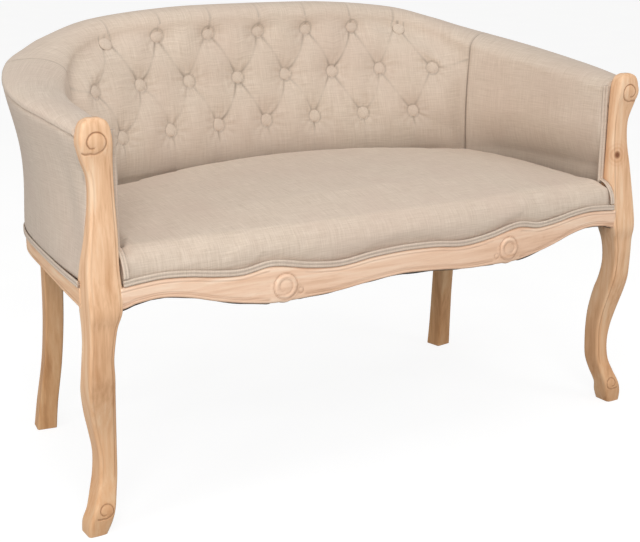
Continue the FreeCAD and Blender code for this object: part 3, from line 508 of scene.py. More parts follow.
def rounded_ring(left, right, near, far, corner, z, counts):
    """Rounded rectangle: counts are the points along the front, a side and the rear, and the steps
    round a corner."""
    front, flank, rear, arc = counts
    edges = (((left + corner, near), (right - corner, near), front),
             ((right, near + corner), (right, far - corner), flank),
             ((right - corner, far), (left + corner, far), rear),
             ((left, far - corner), (left, near + corner), flank))
    points = []
    for turn, ((x0, y0), (x1, y1), count) in zip((-90, 0, 90, 180), edges):
        points += [(x0 + (x1 - x0) * t, y0 + (y1 - y0) * t) for t in spread(0, 1, count)]
        angle = radians(turn)
        middle_x, middle_y = x1 - corner * cos(angle), y1 - corner * sin(angle)
        for k in range(1, arc):
            angle = radians(turn + 90 * k / arc)
            points.append((middle_x + corner * cos(angle), middle_y + corner * sin(angle)))
    return [Vector((x, y, z)) for x, y in points]


HEAD_RING = (0.5495, 0.6475, 0.0158)
TOE_RING = (0.559, 0.0425, 0.0115)
POST_STEPS = 420
POST_CORNER = 0.0048
POST_CROWN = 0.0012
POST_COUNTS = (34, 8, 8, 5)


def post_carving(x, z, left, right):
    """Depth of the carved lines on a post's front face: two scrolls and a line along each edge."""
    scrolls = max(groove(volute_distance(x, z, *HEAD_RING), 0.0011, 0.0017),
                  groove(volute_distance(x, z, *TOE_RING), 0.0010, 0.0014))
    fade = ease((z - 0.075) / 0.03) * ease((0.622 - z) / 0.03)
    inner_line = groove(x - left - 0.0056, 0.0009, 0.0010 * fade)
    outer_line = groove(x - right + 0.0056, 0.0010, 0.0004 * fade)
    return max(scrolls, inner_line, outer_line)


def front_post(side):
    rings, painted_shade = [], []
    for place in spread(0, len(POST_ROWS) - 1, POST_STEPS + 1):
        height, *faces = smooth_row(POST_ROWS, place)
        inner, outer, near, far = [share * POST_BLOCK for share in faces]
        left, right = POST_INNER_X + inner, POST_INNER_X + outer
        corner = min(POST_CORNER, 0.3 * (right - left), 0.3 * (far - near))
        ring = rounded_ring(left, right, near, far, corner, height * POST_HEIGHT, POST_COUNTS)
        for p in ring:
            facing = clamp(1 - (p.y - near) / corner)
            cut = post_carving(p.x, p.z, left, right) * facing
            off_middle = (p.x - (left + right) / 2) / ((right - left) / 2)
            p.y += cut - POST_CROWN * (1 - off_middle * off_middle) * facing + DEPTH_SHIFT
            p.x *= side
            painted_shade.append(carved_shade(cut, 0.75))
        rings.append(ring)
    post = lofted(sided("show_post_", side), rings, painted_shade)
    dress(post, wood_post, "show_wood", sided("front_post_", side))


def bow_y(x):
    share = min(abs(x) / POST_INNER_X, 1)
    rise = (1 - cos(pi * share ** 1.6)) / 2
    return -RAIL_BOW * (1 - 0.72 * rise)


def rail_edge(shares, x):
    """Height of a serpentine edge at x."""
    place = min(abs(x) / POST_INNER_X, 1)
    for k in range(len(shares) - 1):
        start, end = shares[k][0], shares[k + 1][0]
        if place <= end:
            height = smooth_row(shares, k + (place - start) / (end - start))[1]
            return SEAT_RAIL_TOP + height * SEAT_RAIL_HEIGHT


ROSETTE = (0.239, 0.383)
ROSETTE_RING = 0.0218
ROSETTE_LOBE = 0.0290
SCROLL = (-0.0288, -0.0105, 0.0050)


def rosette_relief(x, z):
    """Height and cut of a raised ring with a curl in it, a lobe below and a scroll on its inner side."""
    dx, dz = abs(x) - ROSETTE[0], z - ROSETTE[1]
    reach = hypot(dx, dz)
    relief = 0.0016 * ease((ROSETTE_LOBE - reach) / 0.007) if dz < 0.006 else 0.0
    relief = max(relief, 0.0030 * ease((ROSETTE_RING - reach) / 0.0032))
    relief -= 0.0007 * ease((0.0155 - reach) / 0.002) * ease((reach - 0.002) / 0.008)
    cut = groove(reach - ROSETTE_RING - 0.0004, 0.0011, 0.0015)
    cut = max(cut, groove(volute_distance(abs(x), z, *ROSETTE, 0.0122), 0.0011, 0.0009))
    scroll = hypot(dx - SCROLL[0], dz - SCROLL[1])
    relief = max(relief, 0.0007 * ease((SCROLL[2] - scroll) / 0.002))
    return relief, max(cut, groove(scroll - SCROLL[2], 0.0009, 0.0011))


def front_rail():
    end = POST_INNER_X + 0.004
    columns, rows = 521, 30
    edge_radius = 0.0042
    back_y = 0.024
    rings, painted_shade = [], []
    for x in spread(-end, end, columns):
        y, bottom, high = bow_y(x), rail_edge(RAIL_BOTTOM, x), rail_edge(RAIL_TOP, x)
        lobe = sqrt(max((ROSETTE_LOBE + 0.0005) ** 2 - (abs(x) - ROSETTE[0]) ** 2, 0))
        low = min(bottom, ROSETTE[1] - lobe) if lobe else bottom
        clear = ease((abs(abs(x) - ROSETTE[0] + 0.004) - 0.030) / 0.006)
        ring = []
        for z in spread(low, high, rows):
            rounding = rounded_edge(min(z - low, high - z), edge_radius, edge_radius)
            relief, cut = rosette_relief(x, z)
            lines = max(groove(z - bottom - 0.0066, 0.0008, 0.0012),
                        groove(z - bottom - 0.0095, 0.0008, 0.0009),
                        groove(high - z - 0.0062, 0.0009, 0.0010))
            cut = max(cut, lines * clear)
            ring.append(Vector((x, y - relief + cut + rounding + DEPTH_SHIFT, z)))
            painted_shade.append(carved_shade(cut))
        tail = [(y + 0.014, high), (y + 0.014, RAIL_LEDGE_Z), (back_y, RAIL_LEDGE_Z),
                (back_y, low + 0.002), (back_y - 0.002, low), (y + 0.006, low)]
        rings.append(ring + [Vector((x, depth + DEPTH_SHIFT, z)) for depth, z in tail])
        painted_shade += [0.0] * len(tail)
    dress(lofted("show_front_rail", rings, painted_shade), wood_rail, "show_wood", "front_rail")


def rear_leg(side):
    """Swept square leg and its straight stile, with softened edges."""
    across = Vector((cos(LEG_TURN), sin(LEG_TURN), 0))
    back = Vector((-sin(LEG_TURN), cos(LEG_TURN), 0))
    rows = [smooth_row(LEG_ROWS, place) for place in spread(0, len(LEG_ROWS) - 1, 111)]
    rings = []
    for height, x, y, size in rows + list(STILE_ROWS):
        centre = Vector((x * HALF_WIDTH, y * BACK_DEPTH + DEPTH_SHIFT, height * STILE_HEIGHT))
        half = size * LEG_SIDE / 2
        ring = []
        for p in rounded_ring(-half, half, -half, half, 0.0034, 0, (8, 8, 8, 4)):
            place = centre + across * p.x + back * p.y
            ring.append(Vector((side * place.x, place.y, place.z)))
        rings.append(ring)
    leg = lofted(sided("swept_leg_", side), rings)
    dress(leg, wood_leg, "show_wood", sided("rear_leg_", side))


def wall_rail(name, start, end, node, material, side=0):
    """Seat rail below the wall, arched below at the sides, with a groove and rounded edges."""
    edge_radius = 0.0040
    bottom = SEAT_RAIL_TOP - SEAT_RAIL_HEIGHT
    rings, painted_shade = [], []
    for place, station in stations_along(start, end, side):
        low = bottom + RAIL_ARCH * sin(pi * min(place / REAR_PLACE, 1))
        ring = []
        for z in spread(low, SEAT_RAIL_TOP, 22):
            rounding = rounded_edge(min(z - low, SEAT_RAIL_TOP - z), edge_radius, edge_radius)
            cut = groove(z - low - 0.0075, 0.0010, 0.0013)
            ring.append(station.point(station.low_out - rounding - cut, z))
            painted_shade.append(carved_shade(cut))
        tail = [(0.018, SEAT_RAIL_TOP), (0.018, RAIL_LEDGE_Z), (RAIL_THICKNESS, RAIL_LEDGE_Z),
                (RAIL_THICKNESS, bottom + 0.002), (RAIL_THICKNESS - 0.002, bottom), (0.006, low)]
        rings.append(ring + [station.point(station.low_out - inward, z) for inward, z in tail])
        painted_shade += [0.0] * len(tail)
    dress(lofted(name, rings, painted_shade), material, "show_wood", node)


def dust_edge():
    """Edge of the black cloth where it is tacked under the front rail, hanging a little unevenly."""
    rings = []
    for x in spread(-POST_INNER_X, POST_INNER_X, 260):
        y, low = bow_y(x) + DEPTH_SHIFT, rail_edge(RAIL_BOTTOM, x)
        hang = 0.0018 + 0.0011 * sin(23 * x + 1) + 0.0007 * sin(71 * x)
        hang *= ease((abs(abs(x) - ROSETTE[0]) - 0.020) / 0.012)
        ring = [(0.0068, low + 0.0012), (0.0072, low - hang), (0.0082, low - hang - 0.0003),
                (0.0090, low - hang), (0.0100, low + 0.0012)]
        rings.append([Vector((x, y + depth, z)) for depth, z in ring])
    dress(lofted("dust_edge", rings), dust, "dust_cloth")


for side in (1, -1):
    front_post(side)
    rear_leg(side)
front_rail()
for side in (-1, 1):
    wall_rail(sided("show_side_rail_", side), 0.0, REAR_PLACE, sided("side_rail_", side), wood_side, side)
wall_rail("show_back_rail", REAR_PLACE, LAST_PLACE, "back_rail", wood_rail)
dust_edge()
redress(wood_frame, "crest_rail", "arm_top_rail_left", "arm_top_rail_right", "back_upright_left",
        "back_upright_right", "corner_blocks", "dowels")
redress(jute, "lengthwise_webbing", "crosswise_webbing", "back_webbing", "arm_webbing",
        "platform_hessian")
redress(dust, "dust_cover")


# Upholstery of the wall

SEAM_SHADE = 0.45
SEAM_LINE = 0.0016
ROLL_STEPS = 10


def roll_profile(station):
    """Points over the roll, from the top of the inner face to the seam on the outside."""
    seam = station.seam_z
    across = station.outer(seam)
    crown = 0.56 * across
    angles = [pi / 2 * k / ROLL_STEPS for k in range(1, ROLL_STEPS + 1)]
    points = [(crown * (1 - cos(a)), station.top - ROLL_INNER_DROP * (1 - sin(a))) for a in angles]
    for a in angles:
        bulge = 1 + 0.05 * sin(2 * a)
        points.append((crown + (across - crown) * sin(a) * bulge,
                       station.top - ROLL_OUTER_DROP * (1 - cos(a)) / bulge))
    return points + [(across + 0.0006, seam - 0.0012), (across - 0.0012, seam - 0.0030),
                     (across - 0.0050, seam - 0.0030)]


def over_roll(station, ring, shades, tuck, dark, inner_low):
    """The rest of a pad's ring and its painted shade: over the roll, where a seam's tuck and painted
    shade fade out, and down the rear face inside the frame."""
    for index, (outward, z) in enumerate(roll_profile(station)):
        fade = clamp(1 - index / (ROLL_STEPS - 1))
        ring.append(station.point(outward, z - tuck * fade))
        shades.append(dark * fade)
    across = station.outer(station.roll_z)
    hidden = [(across - 0.0065, station.roll_z + 0.001),
              (max(across - 0.034, 0.016), station.roll_z + 0.0006),
              (max(station.low_out - 0.033, inner_low + 0.012), PAD_LOW_Z)]
    return ring + [station.point(*place) for place in hidden], shades + [0.0] * len(hidden)


def seam_tuck(distance):
    """How far cloth turns in beside a seam."""
    return 0.0018 * clamp(1 - distance / 0.006) ** 2


def seam_shade(distance):
    return clamp(1 - distance / SEAM_LINE) * SEAM_SHADE


def under_turn(z, seam_distance):
    """How far the pads turn back towards the seat's line, less beside the seams."""
    return 0.020 * clamp((0.588 - z) / 0.091) ** 1.7 * ease(seam_distance / 0.07)


def low_shade(z):
    """Soft dark towards the line where the pads go down behind the seat."""
    return 0.34 * clamp((0.596 - z) / 0.090) ** 1.3


def arm_cover(side):
    rows = 40
    rings, painted_shade = [], []
    start = Station(SEAM_PLACE, side).origin
    for share in spread(0, 1, 105):
        place = SEAM_PLACE * share ** 1.25
        station = Station(place, side)
        away = (station.origin - start).length
        behind_post = station.origin.y - DEPTH_SHIFT - POST_BACK_Y
        tuck = seam_tuck(away)
        steady = tuck + rounded_edge(behind_post, 0.0055, 0.0070)
        dark = seam_shade(away)
        ring, shades = [], []
        for z in spread(PAD_LOW_Z, station.roll_z, rows):
            pull = 0.0007 * sin(z * 61 + place * 2.1) * ease(place / 0.6) * ease(away / 0.08)
            ring.append(station.point(station.inner(z) + steady + pull + under_turn(z, away), z))
            shades.append(max(dark, low_shade(z)))
        ring, shades = over_roll(station, ring, shades, tuck, dark, station.inner(PAD_LOW_Z))
        rings.append(ring)
        painted_shade += shades
    cover = lofted(sided("arm_upholstery_", side), rings, painted_shade, rows - 1)
    dress(cover, linen_back, "linen", sided("inside_arm_pad_", side), sided("arm_roll_", side))


def button_row(height, count, pitch_share, centre, curve, power):
    """Height, places across, depth at the middle, curve and its power of one row of buttons."""
    xs = [(k - (count - 1) / 2) * BUTTON_PITCH * pitch_share for k in range(count)]
    return height * OVERALL_HEIGHT, xs, centre * BACK_DEPTH, curve * BUTTON_PITCH, power


ROW_DATA = [button_row(*row) for row in BUTTON_ROWS]


# Height, centre depth, curve, half span and power of the tufted surface, from the seat to the crest.
TUFT_ROWS = [(z, centre, curve, xs[-1], power) for z, xs, centre, curve, power in ROW_DATA]
HEM = (HEM_DEPTH_SHARE * BACK_DEPTH, *TUFT_ROWS[0][2:])
CREST = (0.905 * BACK_DEPTH, 0.004, 0.331, 3.0)
TUFT_ROWS = [(PAD_LOW_Z, *HEM), (HEM_Z, *HEM), *TUFT_ROWS, (0.800, *CREST)]


def row_values(z):
    """Values of the tufted surface at a height, without the height."""
    for low, high in zip(TUFT_ROWS, TUFT_ROWS[1:]):
        if z <= high[0]:
            share = clamp((z - low[0]) / (high[0] - low[0]))
            return [a + (b - a) * share for a, b in zip(low[1:], high[1:])]
    return CREST


SEAM = Station(SEAM_PLACE)


def seam_at(z):
    z = min(z, SEAM.roll_z)
    return SEAM.point(SEAM.inner(z), z)


def base_depth(x, z):
    """Depth of the buttons' surface, bent forward to meet the side seams."""
    centre, curve, span, power = row_values(z)
    y = centre - curve * (abs(x) / span) ** power
    seam = seam_at(z)
    miss = (seam.y - DEPTH_SHIFT) - (centre - curve * (seam.x / span) ** power)
    start = 0.84 * span
    share = clamp((abs(x) - start) / (seam.x - start))
    return y + miss * share ** 2.2


TUFT_DEPTH = 0.019
CREASE_WIDTH = 0.047
PLEAT_LINE = 0.0021
DIMPLE_REACH = 0.06
BACK_ROWS = 124
BACK_SPACING = 0.0026
ARC_Z = 0.66
ARC_STEPS = 300
SEAM_RUN = 0.45


def tufting_lines(arc):
    """Pleats as (points, depth at the start, in the middle and at the end, painted shade)."""
    random.seed(7)
    low, mid, high = [[(arc(x), z) for x in xs] for z, xs, *rest in ROW_DATA]
    lines = []

    def pleat(a, b, start, middle, end, bow):
        (ax, az), (bx, bz) = a, b
        length = hypot(bx - ax, bz - az)
        nx, nz = (bz - az) / length, -(bx - ax) / length
        points = []
        for t in spread(0, 1, 9):
            swing = bow * 4 * t * (1 - t)
            points.append((ax + (bx - ax) * t + nx * swing, az + (bz - az) * t + nz * swing))
        lines.append((points, start, middle, end, random.uniform(0.30, 0.75)))

    for row in (low, high):
        for k, button in enumerate(row):
            for other in (mid[k], mid[k + 1]):
                bow = random.uniform(-0.009, 0.009)
                pleat(other, button, TUFT_DEPTH, random.uniform(0.0050, 0.0085), TUFT_DEPTH, bow)
    for x, z in low:
        pleat((x, z), (x + random.uniform(-0.004, 0.004), HEM_Z - 0.03), TUFT_DEPTH, 0.0060, 0.007,
              random.uniform(-0.006, 0.006))
    for x, z in high:
        pleat((x, z), (x * 0.97, z + 0.052), TUFT_DEPTH, 0.007, 0.003, random.uniform(-0.003, 0.003))
    for index, sign in ((0, -1), (-1, 1)):
        x, z = mid[index]
        edge = arc(sign * seam_at(z).x)
        pleat((x, z), (edge, z + 0.018), TUFT_DEPTH * 0.8, 0.006, 0.006, 0.004 * sign)
        x, z = low[index]
        edge = arc(sign * seam_at(z).x) * 0.99
        pleat((x, z), (edge, z - 0.055), TUFT_DEPTH * 0.6, 0.004, 0.0, 0)
    return lines


def back_columns():
    """Places round the back from seam to seam, evenly spaced along the wall."""
    fine = spread(SEAM_PLACE, LAST_PLACE, 501)
    points = [Station(p).origin for p in fine]
    run = [0.0]
    for a, b in zip(points, points[1:]):
        run.append(run[-1] + (b - a).length)
    count = int(run[-1] / BACK_SPACING)
    places = numpy.interp(spread(0, run[-1], count + 1), run, fine).tolist()
    return [(p, -1) for p in places] + [(p, 1) for p in reversed(places[:-1])]


def softened(field, reach, passes):
    """Even out a height field over a few cells each way."""
    kernel = numpy.ones(2 * reach + 1) / (2 * reach + 1)
    for axis in (0, 1) * passes:
        edges = [(reach, reach) if k == axis else (0, 0) for k in (0, 1)]
        wide = numpy.pad(field, edges, mode="edge")
        field = numpy.apply_along_axis(numpy.convolve, axis, wide, kernel, mode="valid")
    return field


class TuftedBack:
    """Height field of the buttoned back, over columns round the wall and rows up it."""

    def __init__(self):
        self.columns = back_columns()
        # Depth, fine relief and painted shade of each cell.
        self.depth, self.fine, self.dark = [[[0.0] * BACK_ROWS for column in self.columns]
                                            for field in range(3)]
        self.stations = [Station(p, side) for p, side in self.columns]
        self.xs = [s.origin.x / SEAM.origin.x for s in self.stations]
        self.build_arc()
        self.arcs = [self.arc(share * seam_at(ARC_Z).x) for share in self.xs]
        self.buttons = [(self.arc(x), z) for z, xs, *rest in ROW_DATA for x in xs]
        for line in tufting_lines(self.arc):
            self.press(*line)
        for button in self.buttons:
            self.dimple(*button)
        pressed = softened(numpy.array(self.depth) ** 0.2, 3, 2)
        self.depth = (pressed + numpy.array(self.fine)).tolist()

    def build_arc(self):
        self.arc_xs = spread(0, seam_at(ARC_Z).x, ARC_STEPS + 1)
        self.arc_runs = [0.0]
        for a, b in zip(self.arc_xs, self.arc_xs[1:]):
            step = hypot(b - a, base_depth(b, ARC_Z) - base_depth(a, ARC_Z))
            self.arc_runs.append(self.arc_runs[-1] + step)

    def arc(self, x):
        """Run along the surface from the middle to x, with the sign of x."""
        return copysign(numpy.interp(abs(x), self.arc_xs, self.arc_runs), x)

    def row_z(self, column, row):
        return PAD_LOW_Z + (self.stations[column].roll_z - PAD_LOW_Z) * row / (BACK_ROWS - 1)

    def window(self, low_a, high_a, low_z, high_z):
        for c, a in enumerate(self.arcs):
            if low_a <= a <= high_a:
                for r in range(BACK_ROWS):
                    z = self.row_z(c, r)
                    if low_z <= z <= high_z:
                        yield c, r, a, z

    def press(self, points, start, middle, end, shade):
        """Sink a pleat along its points. Depths add as fifth powers, so the deepest one counts."""
        width = CREASE_WIDTH
        a_values, z_values = zip(*points)
        spans = len(points) - 1
        for c, r, a, z in self.window(min(a_values) - width, max(a_values) + width,
                                      min(z_values) - width, max(z_values) + width):
            best, share = width, 0.0
            for k in range(spans):
                (ax, az), (bx, bz) = points[k], points[k + 1]
                dx, dz = bx - ax, bz - az
                t = clamp(((a - ax) * dx + (z - az) * dz) / (dx * dx + dz * dz))
                gap = hypot(a - ax - dx * t, z - az - dz * t)
                if gap < best:
                    best, share = gap, (k + t) / spans
            if best >= width:
                continue
            toward = abs(2 * share - 1)
            rim = start if share < 0.5 else end
            deep = middle + (rim - middle) * toward ** 2.4
            self.depth[c][r] += (deep * (1 - best / width) ** 2.1) ** 5
            sharp = bell(best, PLEAT_LINE) * clamp((toward + 0.25) * deep / 0.010)
            # Painted shade along the fold of the pleat.
            self.dark[c][r] = max(self.dark[c][r], shade * sharp)
            self.fine[c][r] = max(self.fine[c][r], 0.0016 * sharp)

    def dimple(self, ba, bz):
        """Sink the cloth to a button, with a ring of painted shade at its rim and short wrinkles round
        it.
        """
        for c, r, a, z in self.window(ba - DIMPLE_REACH, ba + DIMPLE_REACH,
                                      bz - DIMPLE_REACH, bz + DIMPLE_REACH):
            reach = hypot(a - ba, z - bz)
            if reach >= DIMPLE_REACH:
                continue
            share = (1 - reach / DIMPLE_REACH) ** 1.5 if reach > 0.011 else 0.735
            self.depth[c][r] += (TUFT_DEPTH * share) ** 5
            self.dark[c][r] = max(self.dark[c][r], 0.45 * bell(reach - 0.0138, 0.0014))
            turn = atan2(z - bz, a - ba)
            self.fine[c][r] += 0.0011 * sin(11 * turn + 40 * ba) ** 3 * bell(reach - 0.026, 0.011)

    def surface(self, column, row):
        """Point of the cloth: the buttons' surface with its stuffing, blended into the roll above."""
        station = self.stations[column]
        z = self.row_z(column, row)
        x = self.xs[column] * seam_at(z).x
        step = 0.004
        slope = (base_depth(x + step, z) - base_depth(x - step, z)) / (2 * step)
        normal = Vector((slope, -1, 0)).normalized()
        near_seam = 1 - abs(self.xs[column])
        lift = (TUFT_DEPTH - min(self.depth[column][row], TUFT_DEPTH)) * ease(near_seam / 0.10)
        lift *= 0.75 + 0.25 * ease((z - 0.44) / 0.06)
        p = Vector((x, base_depth(x, z) + DEPTH_SHIFT, z)) + normal * lift
        span = 0.030 + 0.045 * (1 - ease(near_seam / 0.34))
        p = p.lerp(station.point(0, z), ease((z - (station.roll_z - span)) / span))
        away = near_seam * SEAM_RUN
        return p - normal * (seam_tuck(away) + under_turn(z, away))

    def ring(self, column):
        """Points of one column, up the front, over the roll and down inside, and their painted shade."""
        station = self.stations[column]
        ring = [self.surface(column, row) for row in range(BACK_ROWS)]
        away = (1 - abs(self.xs[column])) * SEAM_RUN
        line = seam_shade(away)
        shades = [max(dark, line, low_shade(p.z)) for dark, p in zip(self.dark[column], ring)]
        # Painted shade of the pleat lines that run up over the roll.
        pleat = max(bell(self.arcs[column] - a * 0.97, 0.0020)
                    for a, z in self.buttons[-len(ROW_DATA[-1][1]):])
        return over_roll(station, ring, shades, seam_tuck(away) + 0.0012 * pleat,
                         max(line, 0.4 * pleat), (ring[0] - station.origin).dot(station.out))


back = TuftedBack()
rings, shades = [], []
for column in range(len(back.columns)):
    ring, shade = back.ring(column)
    rings.append(ring)
    shades += shade
cover = lofted("back_upholstery", rings, shades, BACK_ROWS - 1)
dress(cover, linen_back, "linen", "inside_back_pad", "back_roll")
for side in (1, -1):
    arm_cover(side)


# Buttons

# Share of the radius, height over the middle of the button.
BUTTON_PROFILE = ((0.0, 0.0042), (0.20, 0.0041), (0.42, 0.0039), (0.62, 0.0035), (0.80, 0.0028),
                  (0.92, 0.0018), (1.0, 0.0002), (0.99, -0.0012), (0.9, -0.0026), (0.5, -0.0030))
BUTTON_SIDES = 28


def button_seat(a, z):
    """Middle of a button in its dimple, and the way it faces, square to the cloth round it."""
    reach = 6
    column = min(range(len(back.arcs)), key=lambda c: abs(back.arcs[c] - a))
    row = min(range(BACK_ROWS), key=lambda r: abs(back.row_z(column, r) - z))
    row = min(row, BACK_ROWS - 1 - reach)
    across = back.surface(column + reach, row) - back.surface(column - reach, row)
    upward = back.surface(column, row + reach) - back.surface(column, row - reach)
    facing = across.cross(upward).normalized()
    facing = (facing + Vector((0, 0, 0.08))).normalized()
    return back.surface(column, row) + facing * 0.0012, facing


def covered_buttons():
    """Domed cloth buttons with a rolled rim and a slightly uneven edge."""
    verts, uvs, shades, faces = [], [], [], []
    for number, (a, z) in enumerate(back.buttons):
        centre, facing = button_seat(a, z)
        side = facing.cross(Vector((0, 0, 1))).normalized()
        up = side.cross(facing)
        turn = 0.7 * number
        faces += ring_faces(len(verts), len(BUTTON_PROFILE), BUTTON_SIDES)
        for share, height in BUTTON_PROFILE:
            for k in range(BUTTON_SIDES):
                angle = 2 * pi * k / BUTTON_SIDES
                r = BUTTON_RADIUS * share * (1 + 0.012 * sin(7 * angle + turn) * share)
                verts.append(centre + side * (r * cos(angle)) + up * (r * sin(angle))
                             + facing * height)
                uvs.append((r * cos(angle + turn), r * sin(angle + turn)))
                # Painted shade round the underside of the rim.
                shades.append(clamp((share - 0.93) / 0.07) * 0.8 if height < 0.003 else 0.0)
        faces.append(tuple(range(len(verts) - BUTTON_SIDES, len(verts))))
    buttons = mesh_object("covered_buttons", verts, faces, uvs, shades)
    dress(buttons, linen_back, "linen", "back_buttons")


covered_buttons()


# Outside covers

COVER_HOLLOW = 0.0125
COVER_THICKNESS = 0.0044
ARM_COVER_END = 4.985


def post_outer(z):
    """Outer edge of a front post at a height."""
    heights, inner, outer, *rest = zip(*POST_ROWS)
    return POST_INNER_X + float(numpy.interp(z / POST_HEIGHT, heights, outer)) * POST_BLOCK


def cover_outward(station, place, z, low, high):
    """Outside face of the stretched cloth, hollow between its edges and drawn in at the post."""
    share = clamp((z - low) / (high - low))
    reach = ease(place / 0.8) * ease((7.0 - place) / 2.5)
    outward = station.outer(z) - COVER_HOLLOW * reach * (4 * share * (1 - share)) ** 1.6
    edge = post_outer(z) - 0.0012 - abs(station.origin.x)
    return outward - max(outward - edge, 0) * ease(1 - place / 0.55)


def outside_cover(name, start, end, node, side=0):
    """Stretched cloth between the welt and the roll, slightly turned in all round."""
    rows = 34
    rings = []
    for place, station in stations_along(start, end, side):
        low = SEAT_RAIL_TOP + WELT_HEIGHT - 0.0030
        high = station.seam_z - 0.0034
        face = []
        for z in spread(low, high, rows):
            turned_in = 0.0022 * (1 - clamp(min(z - low, high - z) / 0.006)) ** 2
            face.append((cover_outward(station, place, z, low, high) - turned_in, z))
        inside = [(outward - COVER_THICKNESS, z) for outward, z in (face[-1], face[rows // 2], face[0])]
        for inset in (0.016, 0.010, 0.005, 0.002, 0.0) if side and place == start else (0.0,):
            rings.append([station.point(outward - inset, z) - Vector((0, inset * 0.05, 0))
                          for outward, z in face + inside])
    cover = lofted(name, rings, reference=rows // 2)
    dress(cover, linen_back, "linen", node)


for side in (1, -1):
    outside_cover(sided("outside_arm_cover_", side), 0.0, ARM_COVER_END,
                  sided("outside_arm_panel_", side), side)
outside_cover("outside_back_cover", REAR_PLACE, LAST_PLACE, "outside_back_panel")


# Seat

SEAT_SWELL = 0.007
SWELL_FRAMES = 14
CLOTH = {"quality": 5, "use_pressure": True, "uniform_pressure_force": 3.0, "tension_stiffness": 30,
         "compression_stiffness": 30, "bending_stiffness": 2}


def apply_modifier(obj, modifier):
    with bpy.context.temp_override(object=obj, active_object=obj, selected_objects=[obj]):
        bpy.ops.object.modifier_apply(modifier=modifier.name)


def modify(obj, kind, **settings):
    """Add a modifier with its settings and apply it."""
    modifier = obj.modifiers.new(kind.lower(), kind)
    for key, value in settings.items():
        setattr(modifier, key, value)
    apply_modifier(obj, modifier)


def swell(pad):
    """Blow the cloth up a little over its stuffing."""
    cloth = pad.modifiers.new("cloth", "CLOTH")
    for key, value in CLOTH.items():
        setattr(cloth.settings, key, value)
    cloth.settings.effector_weights.gravity = 0
    for number in range(1, SWELL_FRAMES + 1):
        bpy.context.scene.frame_set(number)
    apply_modifier(pad, cloth)
    bpy.context.scene.frame_set(1)


def seat_cushion():
    """Tight seat, swelled from the CAD pad by cloth simulation and smoothed."""
    pad = add_object("seat_upholstery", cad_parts["seat_pad"].data.copy())
    bpy.context.view_layer.objects.active = pad
    modify(pad, "REMESH", mode="VOXEL", voxel_size=0.0055)
    rest = [v.co.copy() for v in pad.data.vertices]
    modify(pad, "SMOOTH", factor=0.6, iterations=6)
    swell(pad)
    for vertex, home in zip(pad.data.vertices, rest):
        move = vertex.co - home
        if move.length > SEAT_SWELL:
            vertex.co = home + move * (SEAT_SWELL / move.length)
    modify(pad, "SUBSURF", levels=1, render_levels=1)
    layer = pad.data.uv_layers[0] if pad.data.uv_layers else pad.data.uv_layers.new(name="UVMap")
    for loop in pad.data.loops:
        co = pad.data.vertices[loop.vertex_index].co
        layer.data[loop.index].uv = (co.x, co.y + co.z)
    pad.data.polygons.foreach_set("use_smooth", [True] * len(pad.data.polygons))
    dress(pad, linen_seat, "linen", "seat_pad")


seat_cushion()


# Welts

WELT_SHARES = [copysign(abs(share) ** 0.8, share) for share in spread(-1, 1, 21)]
EDGE_SHADE = 0.45
CORD_GAP = 0.0058


def double_welt(name, line, node, radius=0.0027):
    """Two cords sewn side by side as one band, along a line of (place, the way the band faces, offset
    from one cord's middle to the other's)."""
    rings, painted_shade = [], []
    for p, outward, gap in line:
        half = gap.length / 2
        side = gap.normalized()
        ring = []
        for share in WELT_SHARES:
            u = share * (half + radius)
            height = sqrt(max(radius ** 2 - (abs(u) - half) ** 2, 0))
            if abs(u) < half:
                height = max(height, radius * 0.70)
            ring.append(p + side * u + outward * height)
            # Painted shade in the valley between the cords, at the band's edges and on its underside.
            painted_shade.append(0.30 * bell(u, 0.0006) + EDGE_SHADE * clamp((abs(share) - 0.93) / 0.07))
        under = half - 0.6 * radius
        rings.append(ring + [p + side * u - outward * 0.0024 for u in (under, -under)])
        painted_shade += [EDGE_SHADE, EDGE_SHADE]
    dress(lofted(name, rings, painted_shade), linen_welt, "linen_cord", node)


def front_rail_welt():
    end = POST_INNER_X - 0.0006
    step = 0.002
    line = []
    for x in spread(-end, end, 300):
        slope = (rail_edge(RAIL_TOP, x + step) - rail_edge(RAIL_TOP, x - step)) / (2 * step)
        bend = (bow_y(x + step) - bow_y(x - step)) / (2 * step)
        line.append((Vector((x, bow_y(x) + 0.0016 + DEPTH_SHIFT, rail_edge(RAIL_TOP, x) + 0.0066)),
                     Vector((bend, -1, 0)).normalized(), Vector((-slope, 0, 1)).normalized() * CORD_GAP))
    double_welt("front_cord", line, "front_rail_welt")


def outside_welt(name, start, end, node, side=0):
    line = [(s.point(s.low_out + 0.0012, SEAT_RAIL_TOP + 0.0061), s.out, Vector((0, 0, CORD_GAP)))
            for place, s in stations_along(start, end, side)]
    double_welt(name, line, node)


def post_welt(side):
    """Cord up the inside of a front post, leaning out over the arm's front edge."""
    top = Station(0, side).roll_z + 0.015
    lean = radians(16)
    outward = Vector((-side * sin(lean), -cos(lean), 0))
    gap = Vector((side * cos(lean), -sin(lean), 0)) * 0.0062
    x, y = side * (POST_INNER_X - 0.0066), POST_BACK_Y - 0.0006 + DEPTH_SHIFT
    line = [(Vector((x, y, z)), outward, gap) for z in spread(0.470, top, 60)]
    double_welt(sided("post_cord_", side), line, sided("post_welt_", side), 0.0030)


def corner_welt(side):
    """Cord over the seat's front corner, from the front rail up and back to the post's cord."""
    x, y, z = side * (POST_INNER_X - 0.0058), bow_y(POST_INNER_X) + 0.0008 + DEPTH_SHIFT, 0.4320
    line = [(Vector((x, y + 0.040 * (1 - cos(a)), z + 0.0435 * sin(a))),
             Vector((0, -cos(a), sin(a))), Vector((0.0052, 0, 0))) for a in spread(0, pi / 2, 26)]
    double_welt(sided("seat_cord_", side), line, sided("seat_corner_welt_", side), 0.0025)


